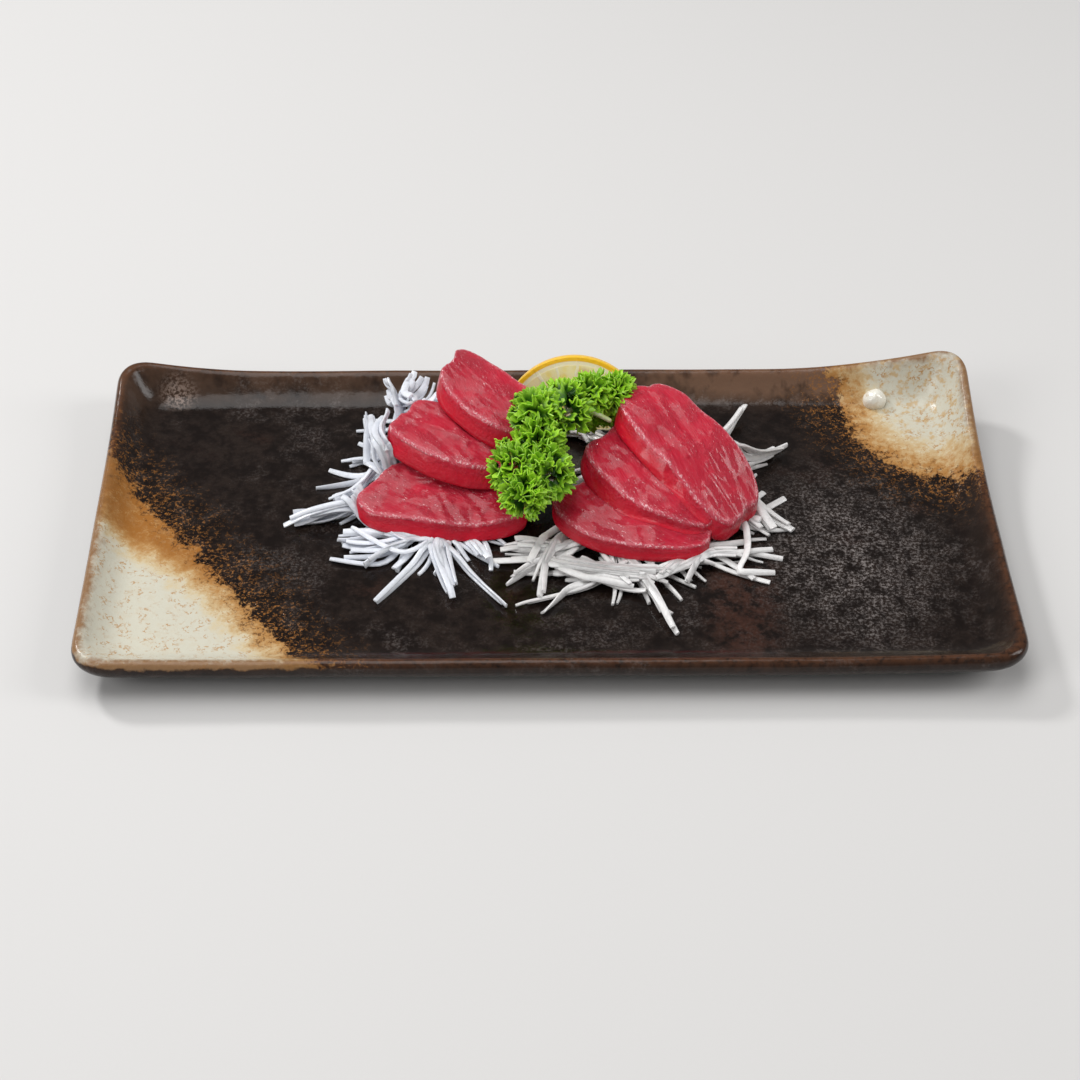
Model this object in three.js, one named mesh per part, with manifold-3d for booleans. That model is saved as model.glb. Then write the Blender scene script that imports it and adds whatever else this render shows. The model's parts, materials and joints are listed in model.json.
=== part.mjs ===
// Sashimi plate: a rectangular glazed stoneware plate with two heaps of shredded radish, a fan of
// three tuna slices on each heap, a sprig of curly parsley between them and a lemon slice behind.
// Millimetres, +Z up, +X along the plate, -Y towards the diner. The origin is under the middle of the
// plate, on the table.
import * as THREE from "three";
import { mergeVertices } from "three/addons/utils/BufferGeometryUtils.js";
import Module from "manifold-3d";

// ---- driving dimensions -------------------------------------------------------------------------
const PLATE = { length: 300, depth: 150, corner: 11, floor: 8, rim: 15, foot: 17 };
const WALL_FOOT = 13; // how far inside the rim the flat of the plate starts
const CORNER_LIFTS = [
  { x: -1, y: -1, lift: 1.2, reach: 60 },
  { x: 1, y: -1, lift: 1.8, reach: 60 },
  { x: 1, y: 1, lift: 9.8, reach: 75 },
  { x: -1, y: 1, lift: 5.5, reach: 50 },
];
const BEAD = { x: 119, y: 60.5, radius: 4.2, height: 3 };
const GAP = 0.4; // between pieces that lie on each other
// Heaps of shredded radish: the dome's middle, its reach to -X, +X, -Y and +Y, and its height. Each
// tuft is a bundle of shreds that sticks out: its direction in degrees, how far it reaches from the
// middle, its half-width in degrees and its height above the plate.
const HEAPS = {
  left: {
    x: -32, y: 20, west: 35, east: 26, south: 32, north: 31, height: 32,
    tufts: [
      { angle: 199, reach: 58, spread: 7, height: 3 },
      { angle: 222, reach: 48, spread: 6, height: 3 },
      { angle: 249, reach: 63, spread: 5, height: 3 },
      { angle: 270, reach: 59, spread: 7, height: 3 },
      { angle: 286, reach: 64, spread: 5, height: 3 },
      { angle: 108, reach: 41, spread: 9, height: 18 },
      { angle: 137, reach: 42, spread: 9, height: 12 },
    ],
  },
  right: {
    x: 35, y: 14, west: 37, east: 28, south: 36, north: 32, height: 32,
    tufts: [
      { angle: 231, reach: 74, spread: 5, height: 3 },
      { angle: 250, reach: 56, spread: 11, height: 4 },
      { angle: 276, reach: 68, spread: 5, height: 4 },
      { angle: 297, reach: 46, spread: 9, height: 3 },
      { angle: 313, reach: 57, spread: 5, height: 3 },
      { angle: 337, reach: 53, spread: 6, height: 4 },
      { angle: 23, reach: 54, spread: 5, height: 6 },
      { angle: 50, reach: 52, spread: 6, height: 11 },
      { angle: 118, reach: 44, spread: 12, height: 9 },
    ],
  },
};

// Tuna slices, the lowest one of each fan first. Each is a thin slab cut on the slant: the middles of
// its left and right ends on its top face, how far its spine arches up and bows to the rear between
// them, its width at the left, in the middle and at the right, its thickness, how far its front cut
// face leans out at the bottom, how much its rear edge is raised (as a slope) at the left and right,
// and how far each end's rear corner is shifted to the right.
const FANS = {
  left: [
    {
      name: "tuna_left_front",
      from: [-59.5, 7, 20], to: [-5, 5, 18.5], arch: 1, bow: -2,
      width: [20, 28, 22], thick: 7.5, flare: 3, rise: [0.2, 0.18], shift: [6, 2],
    },
    {
      name: "tuna_left_middle",
      from: [-49, 28, 33.5], to: [-7, 16, 28], arch: 1, bow: -3,
      width: [17, 24, 20], thick: 9, flare: 4, rise: [0.1, 0.15], shift: [4, 2],
    },
    {
      name: "tuna_left_rear",
      from: [-33, 44, 44], to: [-5, 18, 37], arch: 1, bow: -1,
      width: [17, 21, 18], thick: 9, flare: 3, rise: [0, 0.1], shift: [0, 2],
    },
  ],
  right: [
    {
      name: "tuna_right_front",
      from: [5.5, 3, 20], to: [54.5, -12, 17], arch: 2, bow: -4.5,
      width: [18, 27, 17], thick: 7.5, flare: 3, rise: [0.2, 0.1], shift: [5, 0],
    },
    {
      name: "tuna_right_middle",
      from: [18.5, 20, 31], to: [56, -10, 20], arch: 2, bow: -4,
      width: [16, 24, 15], thick: 9, flare: 4, rise: [0.1, 0.1], shift: [3, 0],
    },
    {
      name: "tuna_right_rear",
      from: [28, 30, 40], to: [64.5, -9, 18.5], arch: 6, bow: 2,
      width: [20, 25, 21], thick: 9, flare: 4, rise: [0, 0.1], shift: [0, 0],
    },
  ],
};
const END_ROUNDING = 3.6; // the power of the slices' outline: 2 is an ellipse, 20 a box

// The lemon's half slice: the middle of its cut edge, its radius and thickness, its angle, and how far
// it stands up and rolls.
const LEMON = { x: 10.5, y: 45.5, z: 11.6, radius: 25.6, thick: 4.5, spread: 180, lean: 62, roll: -4 };
// The parsley's curly heads: the middle and radius of each.
const PARSLEY = [
  { x: -8, y: -13, z: 31, radius: 8 },
  { x: -11, y: -4, z: 34, radius: 9 },
  { x: -1, y: -3, z: 32, radius: 9.5 },
  { x: -3, y: 7, z: 35, radius: 9.5 },
  { x: -3.5, y: 18, z: 39.5, radius: 9.5 },
  { x: 5, y: 21, z: 40, radius: 11 },
  { x: 15, y: 29, z: 40, radius: 8.5 },
  { x: 23, y: 31, z: 38, radius: 7.5 },
];
const CURL = 0.16; // how deep the heads' curls are, as a share of the radius

// ---- colours ------------------------------------------------------------------------------------
const LOOKS = {
  stoneware: { color: 0x241b18, roughness: 0.3, metalness: 0.0 },
  tuna: { color: 0xb5283a, roughness: 0.35, metalness: 0.0 },
  radish: { color: 0xe6e6ea, roughness: 0.45, metalness: 0.0 },
  parsley: { color: 0x4f9a1e, roughness: 0.5, metalness: 0.0 },
  lemon: { color: 0xf0c62a, roughness: 0.45, metalness: 0.0 },
};

const wasm = await Module();
wasm.setup();
const radians = THREE.MathUtils.degToRad;

// ---- helpers ------------------------------------------------------------------------------------

// A closed skin of rings: a lathe's mesh with each of its points moved to place(row, column). The
// first and last rows are the poles at the top and bottom, and the columns run anticlockwise.
function ringSkin(rows, columns, place) {
  const profile = Array.from({ length: rows }, (_, row) => {
    return new THREE.Vector2(Math.sin((Math.PI * row) / (rows - 1)), row);
  });
  profile[0].x = 0;
  profile[rows - 1].x = 0;
  const skin = new THREE.LatheGeometry(profile, columns);
  const points = skin.attributes.position;
  for (let column = 0; column <= columns; column += 1) {
    for (let row = 0; row < rows; row += 1) {
      const at = place(row, (columns - column) % columns);
      points.setXYZ(column * rows + row, at.x, at.y, at.z);
    }
  }
  return skin;
}

// A three.js geometry as a solid that can be cut and joined.
function solidOf(geometry) {
  const bare = new THREE.BufferGeometry().setAttribute("position", geometry.attributes.position);
  bare.setIndex(geometry.index);
  const merged = mergeVertices(bare, 1e-3);
  return new wasm.Manifold(
    new wasm.Mesh({
      numProp: 3,
      vertProperties: new Float32Array(merged.attributes.position.array),
      triVerts: new Uint32Array(merged.index.array),
    }),
  );
}

// A cut or joined solid back as a three.js geometry.
function geometryOf(solid) {
  const mesh = solid.getMesh();
  const positions = new Float32Array(mesh.numVert * 3);
  for (let i = 0; i < mesh.numVert; i += 1) {
    positions.set(mesh.vertProperties.subarray(i * mesh.numProp, i * mesh.numProp + 3), i * 3);
  }
  return new THREE.BufferGeometry()
    .setAttribute("position", new THREE.BufferAttribute(positions, 3))
    .setIndex(new THREE.BufferAttribute(new Uint32Array(mesh.triVerts), 1));
}

// A heap's own dome as a height above the plate.
function dome(heap, x, y) {
  const across = (x - heap.x) / (x < heap.x ? heap.west : heap.east);
  const along = (y - heap.y) / (y < heap.y ? heap.south : heap.north);
  return heap.height * Math.max(0, 1 - across * across - along * along) ** 0.8;
}

// The largest of the bodies that a cut leaves.
function largestOf(solid) {
  return solid.decompose().sort((one, other) => other.volume() - one.volume())[0];
}

function named(name, geometry, look) {
  const mesh = new THREE.Mesh(geometry, new THREE.MeshStandardMaterial(LOOKS[look]));
  mesh.name = name;
  return mesh;
}

// ---- plate --------------------------------------------------------------------------------------
const SIDE_STEPS = { long: 10, short: 5 };

// Points round the plate's outline, moved inwards by inset. Every ring has the same number of points.
function plateRing(inset) {
  const halfX = PLATE.length / 2 - inset;
  const halfY = PLATE.depth / 2 - inset;
  const radius = PLATE.corner - 0.25 * inset;
  const ring = new THREE.Path();
  const corners = [
    [halfX - radius, halfY - radius, 0, SIDE_STEPS.long],
    [-halfX + radius, halfY - radius, 90, SIDE_STEPS.short],
    [-halfX + radius, -halfY + radius, 180, SIDE_STEPS.long],
    [halfX - radius, -halfY + radius, 270, SIDE_STEPS.short],
  ];
  corners.forEach(([x, y, start, steps], i) => {
    ring.absarc(x, y, radius, radians(start), radians(start + 90), false);
    const [nextX, nextY, nextStart] = corners[(i + 1) % 4];
    const from = ring.currentPoint.clone();
    const to = new THREE.Vector2(
      nextX + radius * Math.cos(radians(nextStart)),
      nextY + radius * Math.sin(radians(nextStart)),
    );
    for (let step = 1; step <= steps; step += 1) {
      const at = from.clone().lerp(to, step / steps);
      ring.lineTo(at.x, at.y);
    }
  });
  return ring.getPoints(3).slice(0, -1);
}

// How far the rim is drawn up at a place: its four corners rise by different amounts, and the long
// sides wave a little, as a hand-pressed rim does.
function rimLift(x, y) {
  const corners = CORNER_LIFTS.map((corner) => {
    const away = Math.hypot(x - (corner.x * PLATE.length) / 2, y - (corner.y * PLATE.depth) / 2);
    return corner.lift * Math.max(0, 1 - away / corner.reach) ** 2;
  });
  return corners.reduce((sum, lift) => sum + lift, 0) + 0.35 * Math.sin(x / 31) * Math.sin(y / 40 + 1);
}

function plate() {
  // inset from the outline, height, and the share of the rim's lift that reaches this ring
  const { floor, rim, foot } = PLATE;
  const rings = [
    { inset: 40, z: floor, lift: 0 },
    { inset: WALL_FOOT, z: floor, lift: 0 },
    { inset: 9.5, z: floor + 1.4, lift: 0.25 },
    { inset: 6, z: floor + 4.2, lift: 0.65 },
    { inset: 3.8, z: rim - 0.5, lift: 0.95 },
    { inset: 2.4, z: rim, lift: 1 },
    { inset: 1.0, z: rim - 0.6, lift: 1 },
    { inset: 0, z: rim - 2.4, lift: 1 },
    { inset: 0.3, z: rim - 4.8, lift: 0.95 },
    { inset: 2.8, z: rim - 8, lift: 0.8 },
    { inset: 9, z: 2.6, lift: 0.35 },
    { inset: foot - 1.5, z: 0.5, lift: 0 },
    { inset: foot, z: 0, lift: 0 },
  ];
  const outlines = rings.map((ring) => plateRing(ring.inset));
  const skin = ringSkin(rings.length + 2, outlines[0].length, (row, column) => {
    if (row === 0) return new THREE.Vector3(0, 0, floor);
    if (row > rings.length) return new THREE.Vector3(0, 0, 0);
    const ring = rings[row - 1];
    const at = outlines[row - 1][column];
    return new THREE.Vector3(at.x, at.y, ring.z + ring.lift * rimLift(at.x, at.y));
  });
  const bead = new THREE.SphereGeometry(1, 9, 7);
  bead.scale(BEAD.radius, BEAD.radius, BEAD.height);
  bead.translate(BEAD.x, BEAD.y, floor + 0.8);
  return named("plate", geometryOf(solidOf(skin).add(solidOf(bead))), "stoneware");
}

// ---- fish ---------------------------------------------------------------------------------------

// A quadratic through its values at -1, 0 and 1.
function through([left, middle, right], s) {
  return middle + (s * (right - left)) / 2 + s * s * ((left + right) / 2 - middle);
}

// A place on a slice: s runs along it from -1 to 1, v across it from -1 (front) to 1, and level goes
// from 1 on its top face to 0 on its underside.
function onSlice(slice, s, v, level) {
  const from = new THREE.Vector3(...slice.from);
  const to = new THREE.Vector3(...slice.to);
  const along = to.clone().sub(from).setZ(0).normalize();
  const rearwards = new THREE.Vector3(-along.y, along.x, 0);
  const belly = 1 - s * s;
  const half = through(slice.width, s) / 2;
  const share = (s + 1) / 2;
  const rise = THREE.MathUtils.lerp(...slice.rise, share);
  const shift = THREE.MathUtils.lerp(...slice.shift, share);
  const at = from.lerp(to, share);
  at.addScaledVector(along, shift * v);
  at.addScaledVector(rearwards, half * v + slice.bow * belly - slice.flare * (1 - level) * (0.5 - 0.5 * v));
  at.z += slice.arch * belly + rise * half * v - slice.thick * (1 - level);
  return at;
}

// A slice as a closed skin. Clear grows it on every side, and headroom draws its top upwards, for
// cutting away what is above it.
function sliceSkin(side, index, clear = 0, headroom = 0) {
  const slice = FANS[side][index];
  const columns = 28;
  const length = new THREE.Vector3(...slice.from).distanceTo(new THREE.Vector3(...slice.to));
  const mostWidth = Math.max(...slice.width);
  // how far inside the outline, and the share of the thickness, from the top face to the underside
  const rings = [
    { inset: 8, level: 1 },
    { inset: 3, level: 0.99 },
    { inset: 1.1, level: 0.94 },
    { inset: 0, level: 0.7 },
    { inset: 0.4, level: 0.15 },
    { inset: 2, level: 0.02 },
    { inset: 8, level: 0 },
  ];
  return ringSkin(rings.length + 2, columns, (row, column) => {
    const angle = (2 * Math.PI * column) / columns;
    const c = Math.cos(angle);
    const d = Math.sin(angle);
    const reach = (Math.abs(c) ** END_ROUNDING + Math.abs(d) ** END_ROUNDING) ** (-1 / END_ROUNDING);
    const { inset, level } = rings[THREE.MathUtils.clamp(row - 1, 0, rings.length - 1)];
    const pole = row === 0 || row > rings.length ? 0 : 1;
    const s = pole * reach * c * (1 - (2 * (inset - clear)) / length);
    const v = pole * reach * d * (1 - (2 * (inset - clear)) / mostWidth);
    const at = onSlice(slice, s, v, level);
    at.z += clear * (2 * level - 1) + (level > 0.5 ? headroom : 0);
    return at;
  });
}

function tunaSlice(side, index) {
  const cut = FANS[side].slice(0, index).reduce((rest, _, lower) => {
    return rest.subtract(solidOf(sliceSkin(side, lower, GAP)));
  }, solidOf(sliceSkin(side, index)));
  return named(FANS[side][index].name, geometryOf(largestOf(cut)), "tuna");
}

// ---- radish -------------------------------------------------------------------------------------

// The heap's outline in a direction, from its middle: the dome's foot, and the tufts past it.
function heapReach(heap, angle) {
  const c = Math.cos(angle);
  const s = Math.sin(angle);
  const across = c / (c < 0 ? heap.west : heap.east);
  const along = s / (s < 0 ? heap.south : heap.north);
  const foot = 0.97 / Math.hypot(across, along);
  return heap.tufts.reduce((reach, tuft) => {
    const off = THREE.MathUtils.euclideanModulo(angle - radians(tuft.angle) + Math.PI, 2 * Math.PI) - Math.PI;
    return reach + Math.max(0, tuft.reach - foot) * Math.exp(-((off / radians(tuft.spread)) ** 2));
  }, foot);
}

// The tufts' height over a place: each is a low ridge that runs out from the middle.
function tuftHeight(heap, x, y) {
  const angle = Math.atan2(y - heap.y, x - heap.x);
  return heap.tufts.reduce((height, tuft) => {
    const off = THREE.MathUtils.euclideanModulo(angle - radians(tuft.angle) + Math.PI, 2 * Math.PI) - Math.PI;
    return height + tuft.height * Math.exp(-((off / radians(tuft.spread)) ** 2));
  }, 1.2);
}

function radishHeap(side) {
  const heap = HEAPS[side];
  const columns = 52;
  const foot = PLATE.floor + GAP;
  const top = (x, y, taper) => foot + Math.max(0.8, dome(heap, x, y), taper * tuftHeight(heap, x, y));
  const rings = [0.25, 0.45, 0.62, 0.77, 0.9];
  const skin = ringSkin(rings.length + 4, columns, (row, column) => {
    const angle = (2 * Math.PI * column) / columns;
    const reach = heapReach(heap, angle);
    if (row === 0) return new THREE.Vector3(heap.x, heap.y, top(heap.x, heap.y, 1));
    if (row > rings.length + 2) return new THREE.Vector3(heap.x, heap.y, foot);
    const share = row > rings.length ? 1 : rings[row - 1];
    const x = heap.x + share * reach * Math.cos(angle);
    const y = heap.y + share * reach * Math.sin(angle);
    if (row > rings.length) return new THREE.Vector3(x, y, row > rings.length + 1 ? foot : foot + 0.6);
    return new THREE.Vector3(x, y, top(x, y, 1 - share ** 4));
  });
  const cut = FANS[side].reduce((rest, _, index) => {
    const clearOfSlice = rest.subtract(solidOf(sliceSkin(side, index, GAP)));
    return clearOfSlice.subtract(solidOf(sliceSkin(side, index, GAP, 2 * heap.height)));
  }, solidOf(skin).subtract(lemonSolid(GAP)));
  return named("radish_" + side, geometryOf(largestOf(cut)), "radish");
}

// ---- garnish ------------------------------------------------------------------------------------
// The slice leans back behind the parsley; clear grows it on every side.
function lemonSlice(clear = 0) {
  const half = radians(LEMON.spread / 2);
  const radius = LEMON.radius + clear;
  const sector = new THREE.Shape();
  sector.moveTo(0, -1.2 * clear);
  sector.lineTo(radius * Math.sin(half) + clear, radius * Math.cos(half) - clear);
  sector.absarc(0, 0, radius, Math.PI / 2 - half, Math.PI / 2 + half, false);
  sector.lineTo(-radius * Math.sin(half) - clear, radius * Math.cos(half) - clear);
  sector.lineTo(0, -1.2 * clear);
  const depth = LEMON.thick + 2 * clear;
  const slice = new THREE.ExtrudeGeometry(sector, { depth, bevelEnabled: false, curveSegments: 18 });
  slice.translate(0, 0, -depth / 2);
  const mesh = named("lemon_slice", slice, "lemon");
  mesh.rotation.set(radians(LEMON.lean), 0, radians(LEMON.roll));
  mesh.position.set(LEMON.x, LEMON.y, LEMON.z);
  return mesh;
}

// The lemon slice where it stands, grown by clear, for cutting its neighbours.
function lemonSolid(clear) {
  const lemon = lemonSlice(clear);
  lemon.updateMatrixWorld(true);
  return solidOf(lemon.geometry.clone().applyMatrix4(lemon.matrixWorld));
}

function parsleySprig() {
  const clumps = PARSLEY.map(({ x, y, z, radius }, head) => {
    const clump = new THREE.SphereGeometry(1, 9, 7);
    clump.rotateX(1 + head);
    const points = clump.attributes.position;
    for (let i = 0; i < points.count; i += 1) {
      const at = new THREE.Vector3().fromBufferAttribute(points, i);
      const curl = Math.sin(5 * at.x + head) * Math.sin(5 * at.y + 2 * head) * Math.sin(5 * at.z + 1);
      at.multiplyScalar(radius * (1 + CURL * 2 * curl));
      points.setXYZ(i, x + at.x, y + at.y, z + 0.85 * at.z);
    }
    return solidOf(clump);
  });
  const sprig = clumps.reduce((whole, clump) => whole.add(clump));
  const below = ["left", "right"].flatMap((side) => {
    const slices = FANS[side].map((_, index) => solidOf(sliceSkin(side, index, 2 * GAP)));
    return [...slices, solidOf(radishHeap(side).geometry).translate([0, 0, 2 * GAP])];
  });
  const cut = below.reduce(
    (rest, other) => rest.subtract(other),
    sprig.subtract(lemonSolid(GAP)),
  );
  return named("parsley", geometryOf(largestOf(cut)), "parsley");
}

// ---- the whole ----------------------------------------------------------------------------------
const dish = new THREE.Group();
dish.add(plate());
for (const side of ["left", "right"]) {
  const helping = new THREE.Group();
  helping.add(radishHeap(side));
  FANS[side].forEach((_, index) => helping.add(tunaSlice(side, index)));
  dish.add(helping);
}
dish.add(lemonSlice());
dish.add(parsleySprig());

export default dish;
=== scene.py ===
"""Sashimi plate: the looks of a dark glazed stoneware plate with tuna slices on shredded radish."""

import json
import math
import random

import bmesh
import bpy
from mathutils import Euler, Matrix, Vector, noise
from mathutils.bvhtree import BVHTree

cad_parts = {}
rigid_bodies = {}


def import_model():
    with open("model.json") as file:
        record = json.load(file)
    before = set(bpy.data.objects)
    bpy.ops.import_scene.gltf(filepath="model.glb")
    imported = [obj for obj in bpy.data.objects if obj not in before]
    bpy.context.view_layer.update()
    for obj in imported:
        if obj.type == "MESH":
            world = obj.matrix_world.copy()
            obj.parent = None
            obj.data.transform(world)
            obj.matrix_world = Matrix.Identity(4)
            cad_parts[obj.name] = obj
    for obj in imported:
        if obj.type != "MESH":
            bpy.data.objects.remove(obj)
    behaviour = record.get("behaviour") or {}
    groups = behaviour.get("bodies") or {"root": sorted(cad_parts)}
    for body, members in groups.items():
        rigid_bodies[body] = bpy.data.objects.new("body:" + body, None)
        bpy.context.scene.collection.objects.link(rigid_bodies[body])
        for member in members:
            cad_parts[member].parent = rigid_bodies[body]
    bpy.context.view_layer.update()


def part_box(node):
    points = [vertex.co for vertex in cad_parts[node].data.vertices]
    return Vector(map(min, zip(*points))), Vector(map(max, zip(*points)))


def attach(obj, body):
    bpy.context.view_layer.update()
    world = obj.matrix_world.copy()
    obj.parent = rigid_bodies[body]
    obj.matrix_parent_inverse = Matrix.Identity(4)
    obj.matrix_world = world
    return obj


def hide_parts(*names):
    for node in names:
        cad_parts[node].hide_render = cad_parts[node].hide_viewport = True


bl_info = {
    "name": "Sashimi Plate",
    "version": (1, 0, 0),
    "blender": (4, 5, 0),
    "location": "3D View > Sidebar > Sashimi",
    "description": "Builds a glazed plate of tuna sashimi with shredded radish, parsley and lemon",
    "category": "Object",
}

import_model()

MM = 0.001
BODY = "root"
SIDES = ("left", "right")

# The plate's box, from the frame.
PLATE_LOW, PLATE_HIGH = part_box("plate")
PLATE_LENGTH = PLATE_HIGH.x - PLATE_LOW.x
PLATE_DEPTH = PLATE_HIGH.y - PLATE_LOW.y


# ---- settings -----------------------------------------------------------------------------------

def setting(kind, text, default, **limits):
    """A setting named by the first words of its text."""
    return kind(name=text.split(":")[0], description=text, default=default, **limits)


def length(text, default):
    """A size in metres."""
    return setting(bpy.props.FloatProperty, text, default, min=0.0, unit="LENGTH", precision=5)


def share(text, default):
    """A share from 0 to 1."""
    return setting(bpy.props.FloatProperty, text, default, min=0.0, max=1.0, subtype="FACTOR")


def angle(text, degrees):
    """An angle, given in degrees."""
    return setting(bpy.props.FloatProperty, text, math.radians(degrees), unit="ROTATION")


def colour(text, default):
    """A linear colour."""
    return setting(
        bpy.props.FloatVectorProperty, text, default, size=3, min=0.0, max=1.0, subtype="COLOR"
    )


def count(text, default):
    """A whole number."""
    return setting(bpy.props.IntProperty, text, default, min=1)


class PlateSettings(bpy.types.PropertyGroup):
    """Sizes and glaze colours of the plate"""

    corner: length("Corner: radius of the plate's corners in plan", 11 * MM)
    floor: length("Floor: height of the well's floor", 8 * MM)
    rim: length("Rim: height of the rim at the middle of a side", 15 * MM)
    foot: length("Foot: how far in from the rim the foot stands", 17 * MM)
    wall: length("Wall: how far in from the rim the floor starts", 13 * MM)
    dark: colour("Dark glaze: the brown-black field", (0.006, 0.0032, 0.0024))
    smoke: colour("Smoke: lighter clouds in the dark field", (0.017, 0.0105, 0.008))
    haze: colour("Haze: crystals in the dark glaze", (0.19, 0.168, 0.16))
    brown: colour("Brown: glaze where it runs thin on a wall", (0.15, 0.085, 0.054))
    rust: colour("Rust: glaze where it breaks on an edge", (0.13, 0.05, 0.022))
    fleck: colour("Fleck: strokes of rust round a light patch", (0.3, 0.12, 0.024))
    ochre: colour("Ochre: the band round a light patch", (0.4, 0.21, 0.07))
    tan: colour("Tan: inside the ochre band", (0.5, 0.35, 0.18))
    ivory: colour("Ivory: the middle of a light patch", (0.55, 0.53, 0.44))
    edge: colour("Edge: light glaze along the rim", (0.24, 0.115, 0.036))
    clay: colour("Clay: the bare foot", (0.22, 0.13, 0.08))
    iron: colour("Iron: reddish streaks in the dark field", (0.05, 0.018, 0.011))
    # painted reflection: the pink of a lamp reflected in the rear left corner
    blush: colour("Blush: the pink place in the rear left corner", (0.42, 0.32, 0.27))
    cream: colour("Cream: between tan and ivory", (0.56, 0.47, 0.31))
    ink: colour("Ink: dark strokes in a light patch", (0.06, 0.024, 0.01))
    drop: colour("Drop: the pale drop on the rear wall", (0.8, 0.78, 0.7))


class TunaSettings(bpy.types.PropertyGroup):
    """Colours of the fish"""

    flesh: colour("Flesh: the red of the cut faces", (0.55, 0.006, 0.028))
    deep: colour("Deep flesh: darker red between the fibres", (0.3, 0.002, 0.012))
    top: colour("Top: the duller red of the top faces", (0.42, 0.006, 0.028))
    side: colour("Side: the vivid red of the cut sides", (0.62, 0.004, 0.02))
    # partly painted light: besides the membranes and fibres, this is the painted highlight along the ridges
    # and in specks on the tops
    pale: colour("Pale flesh: pink at the edges and membranes", (0.7, 0.14, 0.19))
    # painted highlight: the near-white colour of glints of light on wet flesh
    wet: colour("Wet flesh: beads of juice that catch the light", (1.0, 0.72, 0.74))


class RadishSettings(bpy.types.PropertyGroup):
    """Sizes and colours of the shredded radish"""

    width: length("Width: of one shred", 2.1 * MM)
    thickness: length("Thickness: of one shred", 1.1 * MM)
    tangle: count("Tangle: loose shreds round each heap", 170)
    cool: colour("Cool white: shreds of the left heap", (0.84, 0.87, 0.95))
    # painted shade: the right heap's shreds are given a warmer, greyer white, with a reddish cast of light
    # from the fish
    warm: colour("Warm white: shreds of the right heap", (0.83, 0.81, 0.8))


class ParsleySettings(bpy.types.PropertyGroup):
    """Sizes and colours of the parsley"""

    leaf: length("Leaf: length of one curled leaflet", 5 * MM)
    leaves: count("Leaves: leaflets on each head", 45)
    # painted highlight: the lit frilled edges of the leaflets
    bright: colour("Bright green: the frilled edges", (0.36, 0.68, 0.02))
    # painted shade: the dark hearts of the leaflets, deep inside each head
    deep: colour("Deep green: the hearts of the leaflets", (0.016, 0.085, 0.001))
    middle: colour("Middle green: the older leaflets", (0.07, 0.24, 0.006))
    # painted highlight: the lightest green where light catches the edges
    tips: colour("Tips: the lightest green, along the edges", (0.52, 0.78, 0.12))
    stem: colour("Stem: pale green stalks", (0.42, 0.52, 0.2))
    cut: colour("Cut: the paler places of the stalks", (0.62, 0.6, 0.42))


class LemonSettings(bpy.types.PropertyGroup):
    """Sizes and colours of the lemon slice"""

    radius: length("Radius: of the half slice", 25.6 * MM)
    thickness: length("Thickness: of the slice", 4.5 * MM)
    stand: angle("Stand: how far the slice stands up", 62)
    roll: angle("Roll: how far its cut edge is turned", -4)
    peel: colour("Peel: the yellow skin", (0.84, 0.49, 0.005))
    pith: colour("Pith: the white under the skin", (0.84, 0.77, 0.52))
    flesh: colour("Flesh: the juicy cells", (0.86, 0.68, 0.2))
    light: colour("Light flesh: the middle of each cell", (0.86, 0.76, 0.42))
    skin: colour("Skin: the membranes between the segments", (0.86, 0.8, 0.6))
    # painted shade: the brownish place where the dark behind the slice shows through its flesh
    stain: colour("Stain: the brownish place near the peel", (0.5, 0.24, 0.13))


class StageSettings(bpy.types.PropertyGroup):
    """The floor, the lights and the camera"""

    floor: colour("Floor: pale studio floor", (0.62, 0.61, 0.6))
    tooth: colour("Tooth: the darker grain of the floor", (0.5, 0.5, 0.5))
    world: share("World: strength of the room's light", 0.22)
    lens: length("Lens: focal length of the camera", 76.9 * MM)
    distance: length("Distance: from the camera to its target", 763 * MM)
    azimuth: angle("Azimuth: camera's turn round the plate", -1.75)
    elevation: angle("Elevation: camera above the table", 41.61)
    roll: angle("Roll: camera's tilt to the side", 0.91)


# ---- shader trees -------------------------------------------------------------------------------

class Value:
    """A socket of a shader tree, so that sums on values can be written as sums."""

    def __init__(self, finish, socket):
        self.finish = finish
        self.socket = socket

    def math(self, operation, *others, swapped=False):
        terms = (*others, self) if swapped else (self, *others)
        return self.finish.node("ShaderNodeMath", {"operation": operation}, dict(enumerate(terms)))

    def __add__(self, other):
        return self.math("ADD", other)

    def __radd__(self, other):
        return self.math("ADD", other, swapped=True)

    def __sub__(self, other):
        return self.math("SUBTRACT", other)

    def __rsub__(self, other):
        return self.math("SUBTRACT", other, swapped=True)

    def __mul__(self, other):
        return self.math("MULTIPLY", other)

    def __rmul__(self, other):
        return self.math("MULTIPLY", other, swapped=True)

    def __truediv__(self, other):
        return self.math("DIVIDE", other)

    def at_most(self, other):
        return self.math("MINIMUM", other)

    def at_least(self, other):
        return self.math("MAXIMUM", other)

    def root(self):
        return self.math("SQRT")

    def step(self, low, high):
        """0 below low, 1 above high, and a smooth rise between them; low may be above high."""
        settings = {"interpolation_type": "SMOOTHSTEP"}
        if low < high:
            return self.finish.node(
                "ShaderNodeMapRange", settings, {"Value": self, "From Min": low, "From Max": high}
            )
        return 1 - self.step(high, low)


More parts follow.
